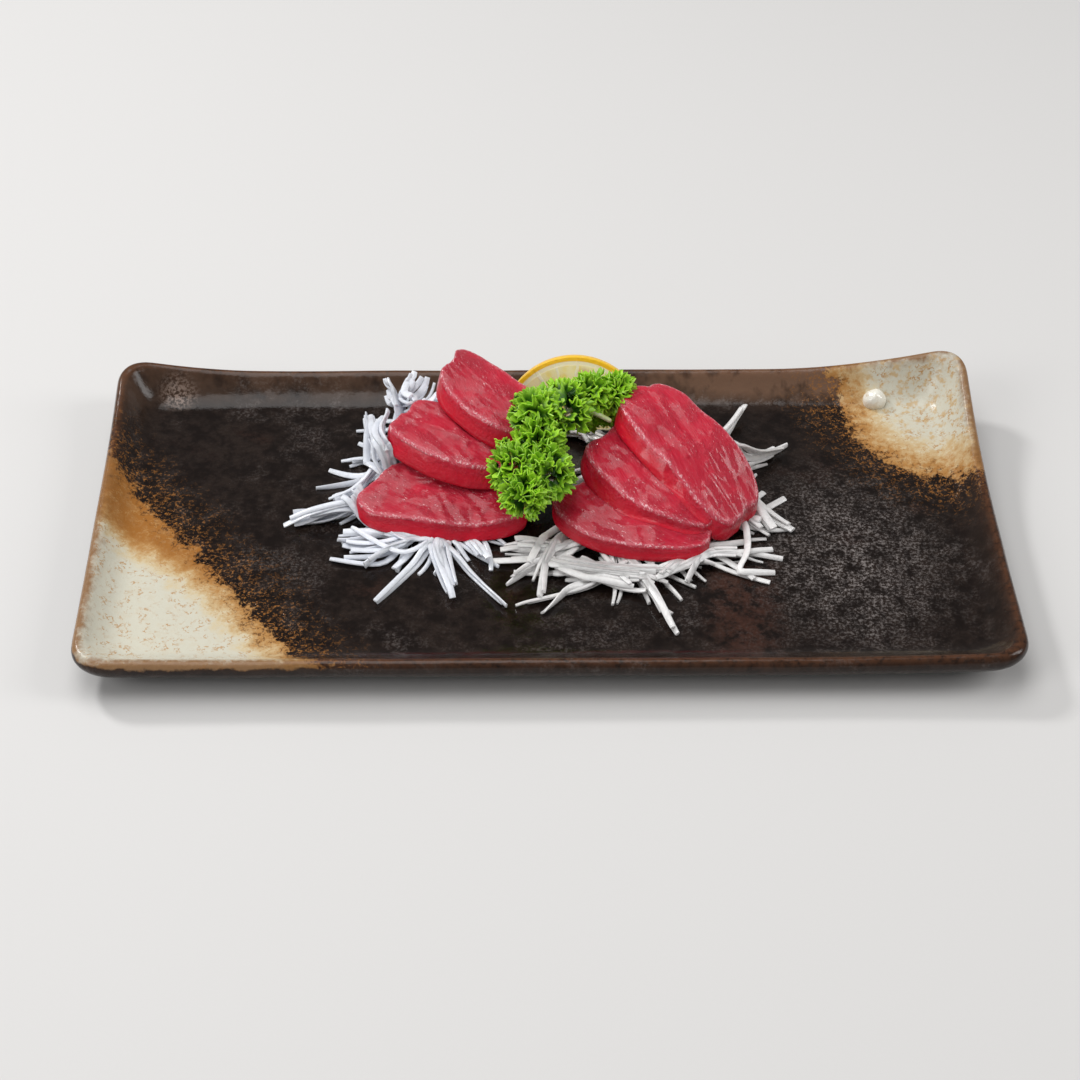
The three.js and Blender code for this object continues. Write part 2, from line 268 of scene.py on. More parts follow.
class Finish:
    """A material and the nodes of its tree."""

    def __init__(self, name):
        self.material = bpy.data.materials.new(name)
        self.material.use_nodes = True
        self.tree = self.material.node_tree
        self.tree.nodes.clear()
        self.place = Value(self, self.tree.nodes.new("ShaderNodeTexCoord").outputs["Object"])
        self.mm = self.node(
            "ShaderNodeVectorMath", {"operation": "SCALE"}, {"Vector": self.place, "Scale": 1 / MM}
        )

    def node(self, kind, settings=None, inputs=None, output=0):
        """Adds a node: its settings first, then values or links by socket; gives one output."""
        made = self.tree.nodes.new(kind)
        for key, value in (settings or {}).items():
            if key == "stops":
                self.set_stops(made.color_ramp, value)
            else:
                setattr(made, key, value)
        for key, value in (inputs or {}).items():
            socket = made.inputs[key]
            if isinstance(value, Value):
                self.tree.links.new(value.socket, socket)
            elif socket.type == "RGBA" and len(value) == 3:
                socket.default_value = (*value, 1.0)
            else:
                socket.default_value = value
        return Value(self, made.outputs[output]) if made.outputs else None

    @staticmethod
    def set_stops(ramp, stops):
        while len(ramp.elements) < len(stops):
            ramp.elements.new(1.0)
        for element, (position, tint) in zip(ramp.elements, stops):
            element.position = position
            element.color = (*tint, 1.0)

    def noise(self, per_mm, detail=2.0, roughness=0.5, where=None, distortion=0.0):
        return self.node(
            "ShaderNodeTexNoise",
            {"noise_dimensions": "3D"},
            {
                "Vector": where or self.mm, "Scale": per_mm, "Detail": detail,
                "Roughness": roughness, "Distortion": distortion,
            },
        )

    def cells(self, per_mm, where=None):
        return self.node(
            "ShaderNodeTexVoronoi", None, {"Vector": where or self.mm, "Scale": per_mm}
        )

    def mix(self, factor, first, second):
        """A colour from first at factor 0 to second at factor 1."""
        return self.node(
            "ShaderNodeMix",
            {"data_type": "RGBA"},
            {"Factor": factor, 6: first, 7: second},
            output=2,
        )

    def ramp(self, value, stops):
        return self.node("ShaderNodeValToRGB", {"stops": stops}, {"Fac": value})

    def attribute(self, name):
        return self.node("ShaderNodeAttribute", {"attribute_name": name}, output="Fac")

    def split(self, vector, axis):
        return self.node("ShaderNodeSeparateXYZ", None, {0: vector}, output="XYZ".index(axis))

    def join(self, x, y, z):
        return self.node("ShaderNodeCombineXYZ", None, {0: x, 1: y, 2: z})

    def stretch(self, vector, factors):
        return self.node(
            "ShaderNodeVectorMath", {"operation": "MULTIPLY"}, {0: vector, 1: factors}
        )

    @staticmethod
    def oval(x, y, middle, reach):
        """How far inside an oval a place is: 1 in its middle, 0 on its edge and less outside."""
        across = (x - middle[0]) / reach[0]
        along = (y - middle[1]) / reach[1]
        return 1 - (across * across + along * along).root()

    def bump(self, height, depth, strength=1.0):
        """A normal that a height from 0 to 1 tilts, as relief of a depth in metres."""
        return self.node(
            "ShaderNodeBump", None, {"Strength": strength, "Distance": depth, "Height": height}
        )

    def surface(self, inputs):
        """The shader itself, and the end of the tree."""
        shader = self.node("ShaderNodeBsdfPrincipled", None, inputs)
        self.node("ShaderNodeOutputMaterial", None, {"Surface": shader})
        return self.material


# ---- modelling helpers --------------------------------------------------------------------------

def deselect():
    bpy.ops.object.select_all(action="DESELECT")


def take(name):
    """Names the active object and its mesh."""
    piece = bpy.context.object
    piece.name = name
    piece.data.name = name
    return piece


def choose(piece):
    """Makes one piece the only one selected."""
    deselect()
    bpy.context.view_layer.objects.active = piece
    piece.select_set(True)


def edit(piece):
    """Goes into edit mode on one piece alone and gives its mesh."""
    choose(piece)
    bpy.ops.object.mode_set(mode="EDIT")
    return bmesh.from_edit_mesh(piece.data)


def leave_edit():
    bpy.ops.object.mode_set(mode="OBJECT")


def finish_modifier(piece, kind, **settings):
    """Adds a modifier and applies it."""
    modifier = piece.modifiers.new(kind.title(), kind)
    for key, value in settings.items():
        setattr(modifier, key, value)
    choose(piece)
    bpy.ops.object.modifier_apply(modifier=modifier.name)


def smooth(piece, limit_degrees=60):
    """Shades a piece smooth, but for edges sharper than a limit."""
    choose(piece)
    bpy.ops.object.shade_smooth_by_angle(angle=math.radians(limit_degrees))


def loft(name, rings):
    """A tube through rings of points: a circle is extruded from ring to ring. Each of its points
    keeps the numbers of the ring and column it belongs to. Its ends stay open."""
    columns = len(rings[0])
    deselect()
    bpy.ops.mesh.primitive_circle_add(vertices=columns, fill_type="NOTHING")
    piece = take(name)
    mesh = edit(piece)
    column_layer = mesh.verts.layers.int.new("column")
    ring_layer = mesh.verts.layers.int.new("ring")
    for column, point in enumerate(mesh.verts):
        point[column_layer] = column
    for number, ring in enumerate(rings):
        if number:
            bpy.ops.mesh.extrude_region()
            mesh = bmesh.from_edit_mesh(piece.data)
            column_layer = mesh.verts.layers.int["column"]
            ring_layer = mesh.verts.layers.int["ring"]
        for point in mesh.verts:
            if point.select:
                point[ring_layer] = number
                point.co = ring[point[column_layer]]
    leave_edit()
    return piece


def close_ends(piece, span=0):
    """Fills the two open ends of a tube, each with one face or with a grid of span columns, and
    turns all faces outwards."""
    mesh = edit(piece)
    loops = []
    left = {edge for edge in mesh.edges if edge.is_boundary}
    while left:
        loop, front = set(), [left.pop()]
        while front:
            edge = front.pop()
            loop.add(edge)
            near = [other for point in edge.verts for other in point.link_edges if other in left]
            left.difference_update(near)
            front += near
        loops.append(min(point.index for edge in loop for point in edge.verts))
    for first in loops:
        mesh = bmesh.from_edit_mesh(piece.data)
        mesh.verts.ensure_lookup_table()
        bpy.ops.mesh.select_all(action="DESELECT")
        start = mesh.verts[first]
        front = [start]
        while front:
            point = front.pop()
            point.select_set(True)
            for edge in point.link_edges:
                other = edge.other_vert(point)
                if edge.is_boundary and not other.select:
                    front.append(other)
        for edge in mesh.edges:
            edge.select_set(edge.is_boundary and all(point.select for point in edge.verts))
        if span:
            mesh.select_history.clear()
            mesh.select_history.add(start)
            bpy.ops.mesh.fill_grid(span=span)
        else:
            bpy.ops.mesh.edge_face_add()
    bpy.ops.mesh.select_all(action="SELECT")
    bpy.ops.mesh.normals_make_consistent(inside=False)
    leave_edit()


def ring_attribute(piece, name, value_of):
    """A number on each point, worked out from the ring and column it was made on."""
    rings = [mark.value for mark in piece.data.attributes["ring"].data]
    columns = [mark.value for mark in piece.data.attributes["column"].data]
    made = piece.data.attributes.new(name, "FLOAT", "POINT")
    for mark, ring, column in zip(made.data, rings, columns):
        mark.value = value_of(ring, column)


def drop_ring_marks(piece):
    """Takes the numbers of rings and columns away, once they have been used."""
    for name in ("ring", "column"):
        piece.data.attributes.remove(piece.data.attributes[name])


def dress(piece, material, slot, *nodes):
    """Gives a finished piece its material, its body and the CAD nodes it stands for."""
    piece.data.materials.clear()
    piece.data.materials.append(material)
    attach(piece, BODY)
    if nodes:
        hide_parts(*nodes)


def through(values, s):
    """A quadratic through its values at -1, 0 and 1."""
    left, middle, right = values
    return middle + s * (right - left) / 2 + s * s * ((left + right) / 2 - middle)


def mesh_piece(name, build):
    """A piece whose mesh is put together by build, which is given an empty one to fill."""
    made = bpy.data.meshes.new(name)
    work = bmesh.new()
    build(work)
    work.to_mesh(made)
    work.free()
    piece = bpy.data.objects.new(name, made)
    bpy.context.scene.collection.objects.link(piece)
    return piece


# ---- plate --------------------------------------------------------------------------------------

# The four corners rise by different amounts: sign in x and y, lift and reach.
CORNER_LIFTS = (
    (-1, -1, 1.2 * MM, 60 * MM),
    (1, -1, 1.8 * MM, 60 * MM),
    (1, 1, 11.2 * MM, 75 * MM),
    (-1, 1, 6.5 * MM, 50 * MM),
)
SIDE_STEPS = {"long": 44, "short": 22}
CORNER_STEPS = 7
PLATE_MARKS = ("breaking", "wall", "outside")
EVEN_BELOW = 4 * MM  # the height up to which the clay is even
PRESSED = 0.3 * MM  # how uneven the clay is above it
# The drop of glaze on the rear wall: its middle, its height over the well's floor, its size, and how
# uneven it is over which length.
NUB = {
    "x": 118 * MM, "y": 63 * MM, "over": 2.2 * MM, "radius": 3.9 * MM, "size": (1.08, 0.94, 1),
    "uneven": 0.9 * MM, "lumps": 3.2 * MM,
}


def plate_ring(plate, inset):
    """Points round the plate's outline, anticlockwise, moved inwards by inset."""
    half_x = PLATE_LENGTH / 2 - inset
    half_y = PLATE_DEPTH / 2 - inset
    radius = max(0.25 * MM, min(plate.corner - 0.25 * inset, half_y))
    centres = (
        (half_x - radius, half_y - radius, 0, SIDE_STEPS["long"]),
        (-half_x + radius, half_y - radius, 90, SIDE_STEPS["short"]),
        (-half_x + radius, -half_y + radius, 180, SIDE_STEPS["long"]),
        (half_x - radius, -half_y + radius, 270, SIDE_STEPS["short"]),
    )
    points = []
    for i, (x, y, start, steps) in enumerate(centres):
        for step in range(CORNER_STEPS + 1):
            turn = math.radians(start + 90 * step / CORNER_STEPS)
            points.append(Vector((x + radius * math.cos(turn), y + radius * math.sin(turn), 0)))
        next_x, next_y, next_start, _ = centres[(i + 1) % 4]
        turn = math.radians(next_start)
        last = points[-1].copy()
        after = Vector((next_x + radius * math.cos(turn), next_y + radius * math.sin(turn), 0))
        points += [last.lerp(after, step / steps) for step in range(1, steps)]
    return points


def rim_lift(x, y):
    """How far the hand-pressed rim is drawn up at a place."""
    lift = 0.35 * MM * math.sin(x / (31 * MM)) * math.sin(y / (40 * MM) + 1)
    lift += 0.5 * MM + 0.6 * MM * y / (PLATE_DEPTH / 2)
    for side_x, side_y, most, reach in CORNER_LIFTS:
        away = math.hypot(x - side_x * PLATE_LENGTH / 2, y - side_y * PLATE_DEPTH / 2)
        lift += most * max(0.0, 1 - away / reach) ** 2
    return lift


def plate_profile(plate):
    """Rings from the middle of the floor over the rim to the foot: how far inside the outline, the
    height, the share of the rim's lift, how much the glaze breaks, how much is wall and how much is
    outside."""
    floor, rim, foot = plate.floor, plate.rim, plate.foot
    inner = [(inset * MM, floor, 0, 0, 0, 0) for inset in (73, 64, 55, 46, 38, 30, 23, 17.5)]
    return inner + [
        (plate.wall, floor + 0.1 * MM, 0.05, 0, 0.05, 0),
        (9.5 * MM, floor + 1.4 * MM, 0.25, 0, 0.5, 0),
        (6 * MM, floor + 4.2 * MM, 0.65, 0, 1, 0),
        (3.9 * MM, rim - 0.5 * MM, 0.95, 0.25, 1, 0),
        (2.4 * MM, rim, 1, 1, 1, 0),
        (1.0 * MM, rim - 0.5 * MM, 1, 0.6, 1, 0.1),
        (0.05 * MM, rim - 2.2 * MM, 1, 0.15, 1, 0.6),
        (0.2 * MM, rim - 4.8 * MM, 0.95, 0.05, 1, 1),
        (2.8 * MM, rim - 8 * MM, 0.8, 0.05, 1, 1),
        (9 * MM, 2.6 * MM, 0.35, 0, 1, 1),
        (foot - 1.5 * MM, 0.5 * MM, 0, 0, 1, 1),
        (foot, 0, 0, 0, 1, 1),
        (foot + 3 * MM, 0, 0, 0, 1, 1),
        (foot + 4 * MM, 0.6 * MM, 0, 0, 1, 1),
        (40 * MM, 0.6 * MM, 0, 0, 1, 1),
        (73 * MM, 0.6 * MM, 0, 0, 1, 1),
    ]


def hand_pressed(point, strength):
    """A slow unevenness of the clay, in metres."""
    return strength * noise.noise(Vector((point.x / (34 * MM), point.y / (26 * MM), 0.3)))


def build_plate(plate):
    profile = plate_profile(plate)
    rings = []
    for inset, height, lifted, *_ in profile:
        ring = plate_ring(plate, inset)
        for point in ring:
            point.z = height + lifted * rim_lift(point.x, point.y)
        rings.append(ring)
    piece = loft("plate_glazed", rings)
    for i, name in enumerate(PLATE_MARKS, 3):
        ring_attribute(piece, name, lambda ring, column, i=i: profile[ring][i])
    drop_ring_marks(piece)
    finish_modifier(piece, "SUBSURF", levels=2, render_levels=2)
    close_ends(piece)
    for point in piece.data.vertices:
        if point.co.z > EVEN_BELOW:
            point.co.z += hand_pressed(point.co, PRESSED) - 0.4 * PRESSED
    smooth(piece)
    return piece


def build_nub(plate):
    """The drop of glaze that stands on the rear wall."""
    deselect()
    bpy.ops.mesh.primitive_uv_sphere_add(segments=36, ring_count=20, radius=NUB["radius"])
    piece = take("plate_nub")
    edit(piece)
    bpy.ops.mesh.select_all(action="SELECT")
    bpy.ops.transform.resize(value=NUB["size"])
    bpy.ops.transform.translate(value=(NUB["x"], NUB["y"], plate.floor + NUB["over"]))
    leave_edit()
    for point in piece.data.vertices:
        point.co.z += NUB["uneven"] * (noise.noise(point.co / NUB["lumps"]) - 1 / 3)
    smooth(piece)
    return piece


# Ovals on the glaze, and the oval of a painted reflection: middle and reach in x and y, in mm.
LIGHT_CORNER = ((150, 76), (47, 57))
HAZY = ((98, -18), (28, 36))
RED_STREAK = ((62, -38), (13, 45))
# painted reflection: where a lamp's pink reflection is painted in the rear left corner
REFLECTION_SPOT = ((-129, 66), (9, 7))


def light_patch(glaze, x, y):
    """How far inside the light patches a place is, in millimetres: the front left corner's straight
    edge, and the rear right corner's round one."""
    front_left = (x + 112.5) * -0.8 + (y + 20.5) * -0.6
    rear_right = glaze.oval(x, y, *LIGHT_CORNER) * 50
    return front_left, rear_right


def worms(glaze, per_mm, offset, width):
    """Short curled strokes, as crystals leave in a glaze."""
    where = glaze.node(
        "ShaderNodeVectorMath", {"operation": "ADD"}, {0: glaze.mm, 1: (offset, offset, 0)}
    )
    line = (glaze.noise(per_mm, 2, 0.6, where=where) - 0.5).math("ABSOLUTE")
    parts = glaze.noise(per_mm * 0.8, 1, 0.5, where=where, distortion=0.4)
    return line.step(width, width * 0.3) * parts.step(0.48, 0.56)


def glaze_material(plate):
    glaze = Finish("dark_glaze")
    x, y, z = [glaze.split(glaze.mm, axis) for axis in "XYZ"]
    breaking, wall, outside = [glaze.attribute(name) for name in PLATE_MARKS]
    front_left, rear_right = light_patch(glaze, x, y)

    cloud = glaze.noise(0.05, 3, 0.6)
    blot = glaze.noise(0.2, 4, 0.65)
    grain = glaze.noise(0.9, 3, 0.75)

    # the dark field, with crystals that cloud it and a few reddish places
    haze_mask = glaze.oval(x, y, *HAZY).step(-0.6, 0.7) + cloud.step(0.46, 0.7) * 0.3 + 0.02
    haze_mask = haze_mask * grain.step(0.44, 0.68) * blot.step(0.3, 0.6)
    smoky = glaze.mix(blot.step(0.35, 0.7), plate.dark, plate.smoke)
    dark = glaze.mix(haze_mask.at_most(1.0), smoky, plate.haze)
    reddened = glaze.oval(x, y, *RED_STREAK).step(-0.3, 0.7) * 0.7 + cloud.step(0.4, 0.25) * 0.4
    dark = glaze.mix(reddened * blot.step(0.35, 0.65), dark, plate.iron)
    # a painted reflection of a lamp, pinkish, in the rear left corner
    painted_reflection = glaze.oval(x, y, *REFLECTION_SPOT).step(0.0, 0.9) * grain.step(0.42, 0.6) * 0.6
    dark = glaze.mix(painted_reflection, dark, plate.blush)

    # thin glaze on the walls
    rear = y.step(44, 64)
    streaks = glaze.noise(0.12, 3, 0.6, where=glaze.stretch(glaze.mm, (1.0, 1.0, 0.25)))
    thin = wall * (rear * (0.35 + 1.1 * x.step(-10, 90)) + 0.06) * streaks.step(0.2, 0.6)
    dark = glaze.mix(thin.at_most(1.0), dark, plate.brown)

    # the light patches: strokes of rust on the dark, then ochre, tan and ivory
    wander = (cloud - 0.5) * 14 + (blot - 0.5) * 14 + (grain - 0.5) * 9
    depth = front_left.at_least(rear_right) + wander
    strokes = worms(glaze, 0.62, 0, 0.07)
    dark_strokes = worms(glaze, 0.62, 80, 0.08)
    scattered = depth.step(-24, 3) * (0.35 + 0.65 * grain.step(0.45, 0.6))
    dripped = 1 - (outside + (blot - 0.5) * 0.9).step(0.3, 0.55)
    dark = glaze.mix(strokes * scattered * dripped, dark, plate.fleck)
    specks = grain.step(0.56, 0.64) * depth.step(-12, 2) * dripped * 0.85
    dark = glaze.mix(specks, dark, plate.fleck)

    ripening = depth - y.step(-38, 6) * (x.step(0, -100) * 17) - rear_right.step(-10, 20) * 5
    tint = glaze.ramp(
        ripening.step(-6, 16),
        [
            (0.0, plate.fleck),
            (0.3, plate.ochre),
            (0.55, plate.tan),
            (0.75, plate.cream),
            (1.0, plate.ivory),
        ],
    )
    mottle = glaze.noise(0.35, 3, 0.65)
    mottled = mottle.step(0.48, 0.66) * (0.12 + 0.75 * rear_right.step(-5, 6))
    tint = glaze.mix(mottled, tint, plate.tan)
    tint = glaze.mix(strokes * blot.step(0.42, 0.6) * 0.8, tint, plate.ochre)
    from_end = PLATE_LENGTH / 2 / MM - x.math("ABSOLUTE")
    from_side = PLATE_DEPTH / 2 / MM - y.math("ABSOLUTE")
    from_rim = from_end.at_most(from_side) + (blot - 0.5) * 6 + (mottle - 0.5) * 5
    tint = glaze.mix(from_rim.step(5, 1.5) * 0.9, tint, plate.edge)
    tint = glaze.mix(dark_strokes * depth.step(7, 0) * 0.8, tint, plate.ink)
    covered = depth.step(-1.5, 0.8) * dripped
    body = glaze.mix(covered, dark, tint)

    # iron that shows on the edges
    worn = breaking * glaze.noise(0.6, 3, 0.7).step(0.25, 0.6)
    body = glaze.mix(worn * (0.55 - 0.2 * covered), body, plate.rust)

    # the bare foot
    bare = z.step(1.4, 0.9)
    body = glaze.mix(bare, body, plate.clay)

    relief = cloud * 0.5 + blot * 0.14 + grain * 0.05 + strokes * scattered * 0.03
    roughness = 0.08 + haze_mask * 0.25 + covered * 0.08 + grain * 0.12 + bare * 0.5
    return glaze.surface(
        {
            "Base Color": body,
            "Roughness": roughness,
            "Specular IOR Level": 0.26,
            "Normal": glaze.bump(relief, 1.6 * MM, 0.6),
        }
    )


def nub_material(plate):
    glaze = Finish("nub_glaze")
    blot = glaze.noise(0.5, 3, 0.6)
    body = glaze.mix(blot.step(0.5, 0.75) * 0.5, plate.drop, plate.tan)
    return glaze.surface(
        {
            "Base Color": body,
            "Roughness": 0.12 + 0.1 * blot,
            "Coat Weight": 0.4,
            "Normal": glaze.bump(blot, 0.3 * MM, 0.4),
        }
    )


class SASHIMI_OT_plate(bpy.types.Operator):
    """Builds the glazed stoneware plate"""

    bl_idname = "sashimi.plate"
    bl_label = "Plate"

    def execute(self, context):
        plate = context.scene.sashimi_plate
        piece = build_plate(plate)
        dress(piece, glaze_material(plate), "glazed_stoneware", "plate")
        dress(build_nub(plate), nub_material(plate), "glazed_stoneware")
        return {"FINISHED"}


# ---- fish ---------------------------------------------------------------------------------------

# Each slice is a thin slab cut on the slant, the lowest of its fan first: the middles of its left and
# right ends on its top face, how far its spine arches up and bows to the rear, its width at the left,
# in the middle and at the right, its thickness, how far its front face leans out at the bottom, the
# slope to the rear at its left and right, how far each end's rear corner is shifted, the creases along
# its top (their v at the left and right end, and the step down in front of them), and what its
# outline draws out or cuts off (degrees from its right end, share, spread). Lengths are in mm.
FANS = {
    "left": (
        {
            "name": "tuna_left_front", "start": (-59.5, 7, 20), "end": (-5, 5, 18.5), "arch": 1, "bow": -2,
            "width": (20, 28, 22), "thick": 7.5, "flare": 4, "rise": (0.2, 0.18), "shift": (6, 2),
            "creases": ((0.4, 0.1, 0.9), (-0.35, -0.5, 0.5)),
            "edge": ((150, -0.06, 25), (205, 0.05, 22), (245, -0.07, 25), (318, 0.04, 14)),
        },
        {
            "name": "tuna_left_middle", "start": (-49, 28, 33.5), "end": (-7, 16, 28), "arch": 1, "bow": -3,
            "width": (17, 24, 20), "thick": 9, "flare": 5, "rise": (0.1, 0.15), "shift": (4, 2),
            "creases": ((0.0, -0.3, 0.8), (0.6, 0.3, 0.4)),
            "edge": ((140, 0.05, 14), (165, -0.05, 14), (215, 0.03, 18), (240, -0.06, 20)),
        },
        {
            "name": "tuna_left_rear", "start": (-33, 44, 44), "end": (-5, 18, 37), "arch": 1, "bow": -1,
            "width": (17, 21, 18), "thick": 9, "flare": 4, "rise": (0, 0.1), "shift": (0, 2),
            "creases": ((0.2, -0.15, 0.8), (-0.5, -0.4, 0.4)),
            "edge": ((142, 0.13, 20), (112, -0.07, 16), (180, -0.07, 22), (222, -0.09, 24)),
        },
    ),
    "right": (
        {
            "name": "tuna_right_front", "start": (5.5, 3, 20), "end": (54.5, -12, 17), "arch": 2,
            "bow": -4.5,
            "width": (18, 27, 17), "thick": 6.8, "flare": 2.5, "rise": (0.2, 0.1), "shift": (5, 0),
            "creases": ((-0.45, -0.5, 0.7), (0.3, 0.5, 0.4)),
            "edge": ((150, -0.08, 22), (192, 0.07, 16), (226, -0.06, 20), (318, 0.06, 14)),
        },
        {
            "name": "tuna_right_middle", "start": (18.5, 20, 31), "end": (56, -10, 20), "arch": 2, "bow": -4,
            "width": (16, 24, 15), "thick": 9, "flare": 4.5, "rise": (0.1, 0.1), "shift": (3, 0),
            "creases": ((-0.4, -0.3, 0.7), (0.5, 0.2, 0.4)),
            "edge": ((140, 0.06, 15), (180, -0.04, 22), (226, 0.03, 18), (300, -0.03, 20)),
        },
        {
            "name": "tuna_right_rear", "start": (28, 30, 40), "end": (64.5, -9, 18.5), "arch": 6, "bow": 2,
            "width": (20, 25, 21), "thick": 9, "flare": 5, "rise": (0, 0.1), "shift": (0, 0),
            "creases": ((-0.5, -0.2, 1.1), (0.35, 0.2, 0.6)),
            "edge": (
                (128, 0.09, 12), (146, -0.07, 8), (160, 0.05, 10), (100, -0.03, 16), (50, 0.05, 16),
                (20, -0.04, 14), (322, -0.05, 18), (226, -0.05, 20),
            ),
        },
    ),
}
END_ROUNDING = 4.6
SLICE_COLUMNS = 96
SLICE_MARKS = ("cut_s", "cut_v", "cut_level")
SLICE_GAP = 0.1 * MM  # between a slice and the one it lies on
SLICE_GIVE = 9 * MM  # how far a slice can give way
# How far inside the outline in mm, and the share of the thickness, from top face to underside.
SLICE_RINGS = (
    (10.2, 1), (8.8, 1), (7.4, 1), (6, 1), (4.6, 1), (3.4, 1), (2.2, 0.998), (1.4, 0.996), (0.8, 0.99),
    (0.3, 0.966), (0.06, 0.92), (0, 0.8),
    (0, 0.5), (0.05, 0.25), (0.5, 0.08), (1.6, 0.01), (5, 0), (9, 0), (10.2, 0),
)


def outline(cut, turn, seed):
    """How far the slice's outline reaches at a turn, as a share: a rounded rectangle whose corners
    are drawn out or cut off, with a ragged edge."""
    c, d = math.cos(turn), math.sin(turn)
    reach = (abs(c) ** END_ROUNDING + abs(d) ** END_ROUNDING) ** (-1 / END_ROUNDING)
    for degrees, push, spread in cut["edge"]:
        away = (math.degrees(turn) - degrees + 180) % 360 - 180
        reach *= 1 + push * math.exp(-((away / spread) ** 2))
    reach *= 1 + 0.03 * noise.noise(Vector((2 * c, 2 * d, seed)))
    return reach * (1 + 0.012 * noise.noise(Vector((7 * c, 7 * d, seed + 5))))


def on_slice(cut, s, v, level):
    """A place on a slice: s runs along it and v across it from -1 to 1, level from 0 to 1 upwards."""
    start, end = Vector(cut["start"]), Vector(cut["end"])
    along = (end - start) * Vector((1, 1, 0))
    along.normalize()
    rearwards = Vector((-along.y, along.x, 0))
    belly = 1 - s * s
    half = through(cut["width"], s) / 2
    part = (s + 1) / 2
    rise = cut["rise"][0] + (cut["rise"][1] - cut["rise"][0]) * part
    shift = cut["shift"][0] + (cut["shift"][1] - cut["shift"][0]) * part
    lean = cut["flare"] * (1 - level) * (0.5 - 0.5 * v)
    at = start.lerp(end, part) + along * (shift * v) + rearwards * (half * v + cut["bow"] * belly - lean)
    at.z += cut["arch"] * belly + rise * half * v - cut["thick"] * (1 - level)
    return at


def slice_rings(cut, seed):
    long = (Vector(cut["end"]) - Vector(cut["start"])).length
    wide = max(cut["width"])
    rings, coordinates = [], []
    for inset, level in SLICE_RINGS:
        ring, marks = [], []
        for column in range(SLICE_COLUMNS):
            turn = 2 * math.pi * (column / SLICE_COLUMNS + 1 / 8)
            reach = outline(cut, turn, seed)
            s = reach * math.cos(turn) * (1 - 2 * inset / long)
            v = reach * math.sin(turn) * (1 - 2 * inset / wide)
            ring.append(on_slice(cut, s, v, level) * MM)
            marks.append((s, v, level))
        rings.append(ring)
        coordinates.append(marks)
    return rings, coordinates


def slump(cut, at, s, v, seed):
    """The unevenness of soft flesh at a place in mm: slow waves, folds across the slice, and the
    creases along it, each a step down to the front with a low lip."""
    wave = noise.noise(Vector((at.x / 15, at.y / 12, seed)))
    fold = noise.noise(Vector(((at.x + 0.6 * at.y) / 5.5, (at.y - 0.6 * at.x) / 14, seed + 9)))
    nick = noise.noise(Vector((at.x / 2.6, at.y / 2.6, at.z / 2.6 + seed)))
    height = 1.1 * wave - 0.8 * abs(fold) + 0.16 * nick
    half = through(cut["width"], s) / 2
    for left, right, drop in cut["creases"]:
        line = left + (right - left) * (s + 1) / 2 + 0.16 * noise.noise(Vector((1.7 * s, left, seed)))
        away = (v - line) * half
        height += 0.45 * drop * math.exp(-((away / 1.1) ** 2)) - 0.5 * drop * (1 - math.tanh(away / 1.3))
    return height


def build_slice(cut, seed, below):
    """One slice; it gives way where it lies on the slices below."""
    rings, coordinates = slice_rings(cut, seed)
    piece = loft(cut["name"] + "_flesh", rings)
    for i, name in enumerate(SLICE_MARKS):
        ring_attribute(piece, name, lambda ring, column, i=i: coordinates[ring][column][i])
    drop_ring_marks(piece)
    finish_modifier(piece, "SUBSURF", levels=1, render_levels=1)
    close_ends(piece, span=SLICE_COLUMNS // 2)
    marks = [piece.data.attributes[name].data for name in SLICE_MARKS]
    for point, s, v, level in zip(piece.data.vertices, *marks):
        point.co.z += slump(cut, point.co / MM, s.value, v.value, seed) * level.value * MM
    for point in piece.data.vertices:
        for tree in below:
            hit = tree.ray_cast(point.co + Vector((0, 0, 60 * MM)), Vector((0, 0, -1)))[0]
            if hit and hit.z - SLICE_GIVE < point.co.z < hit.z + SLICE_GAP:
                point.co.z = hit.z + SLICE_GAP
    smooth(piece)
    return piece


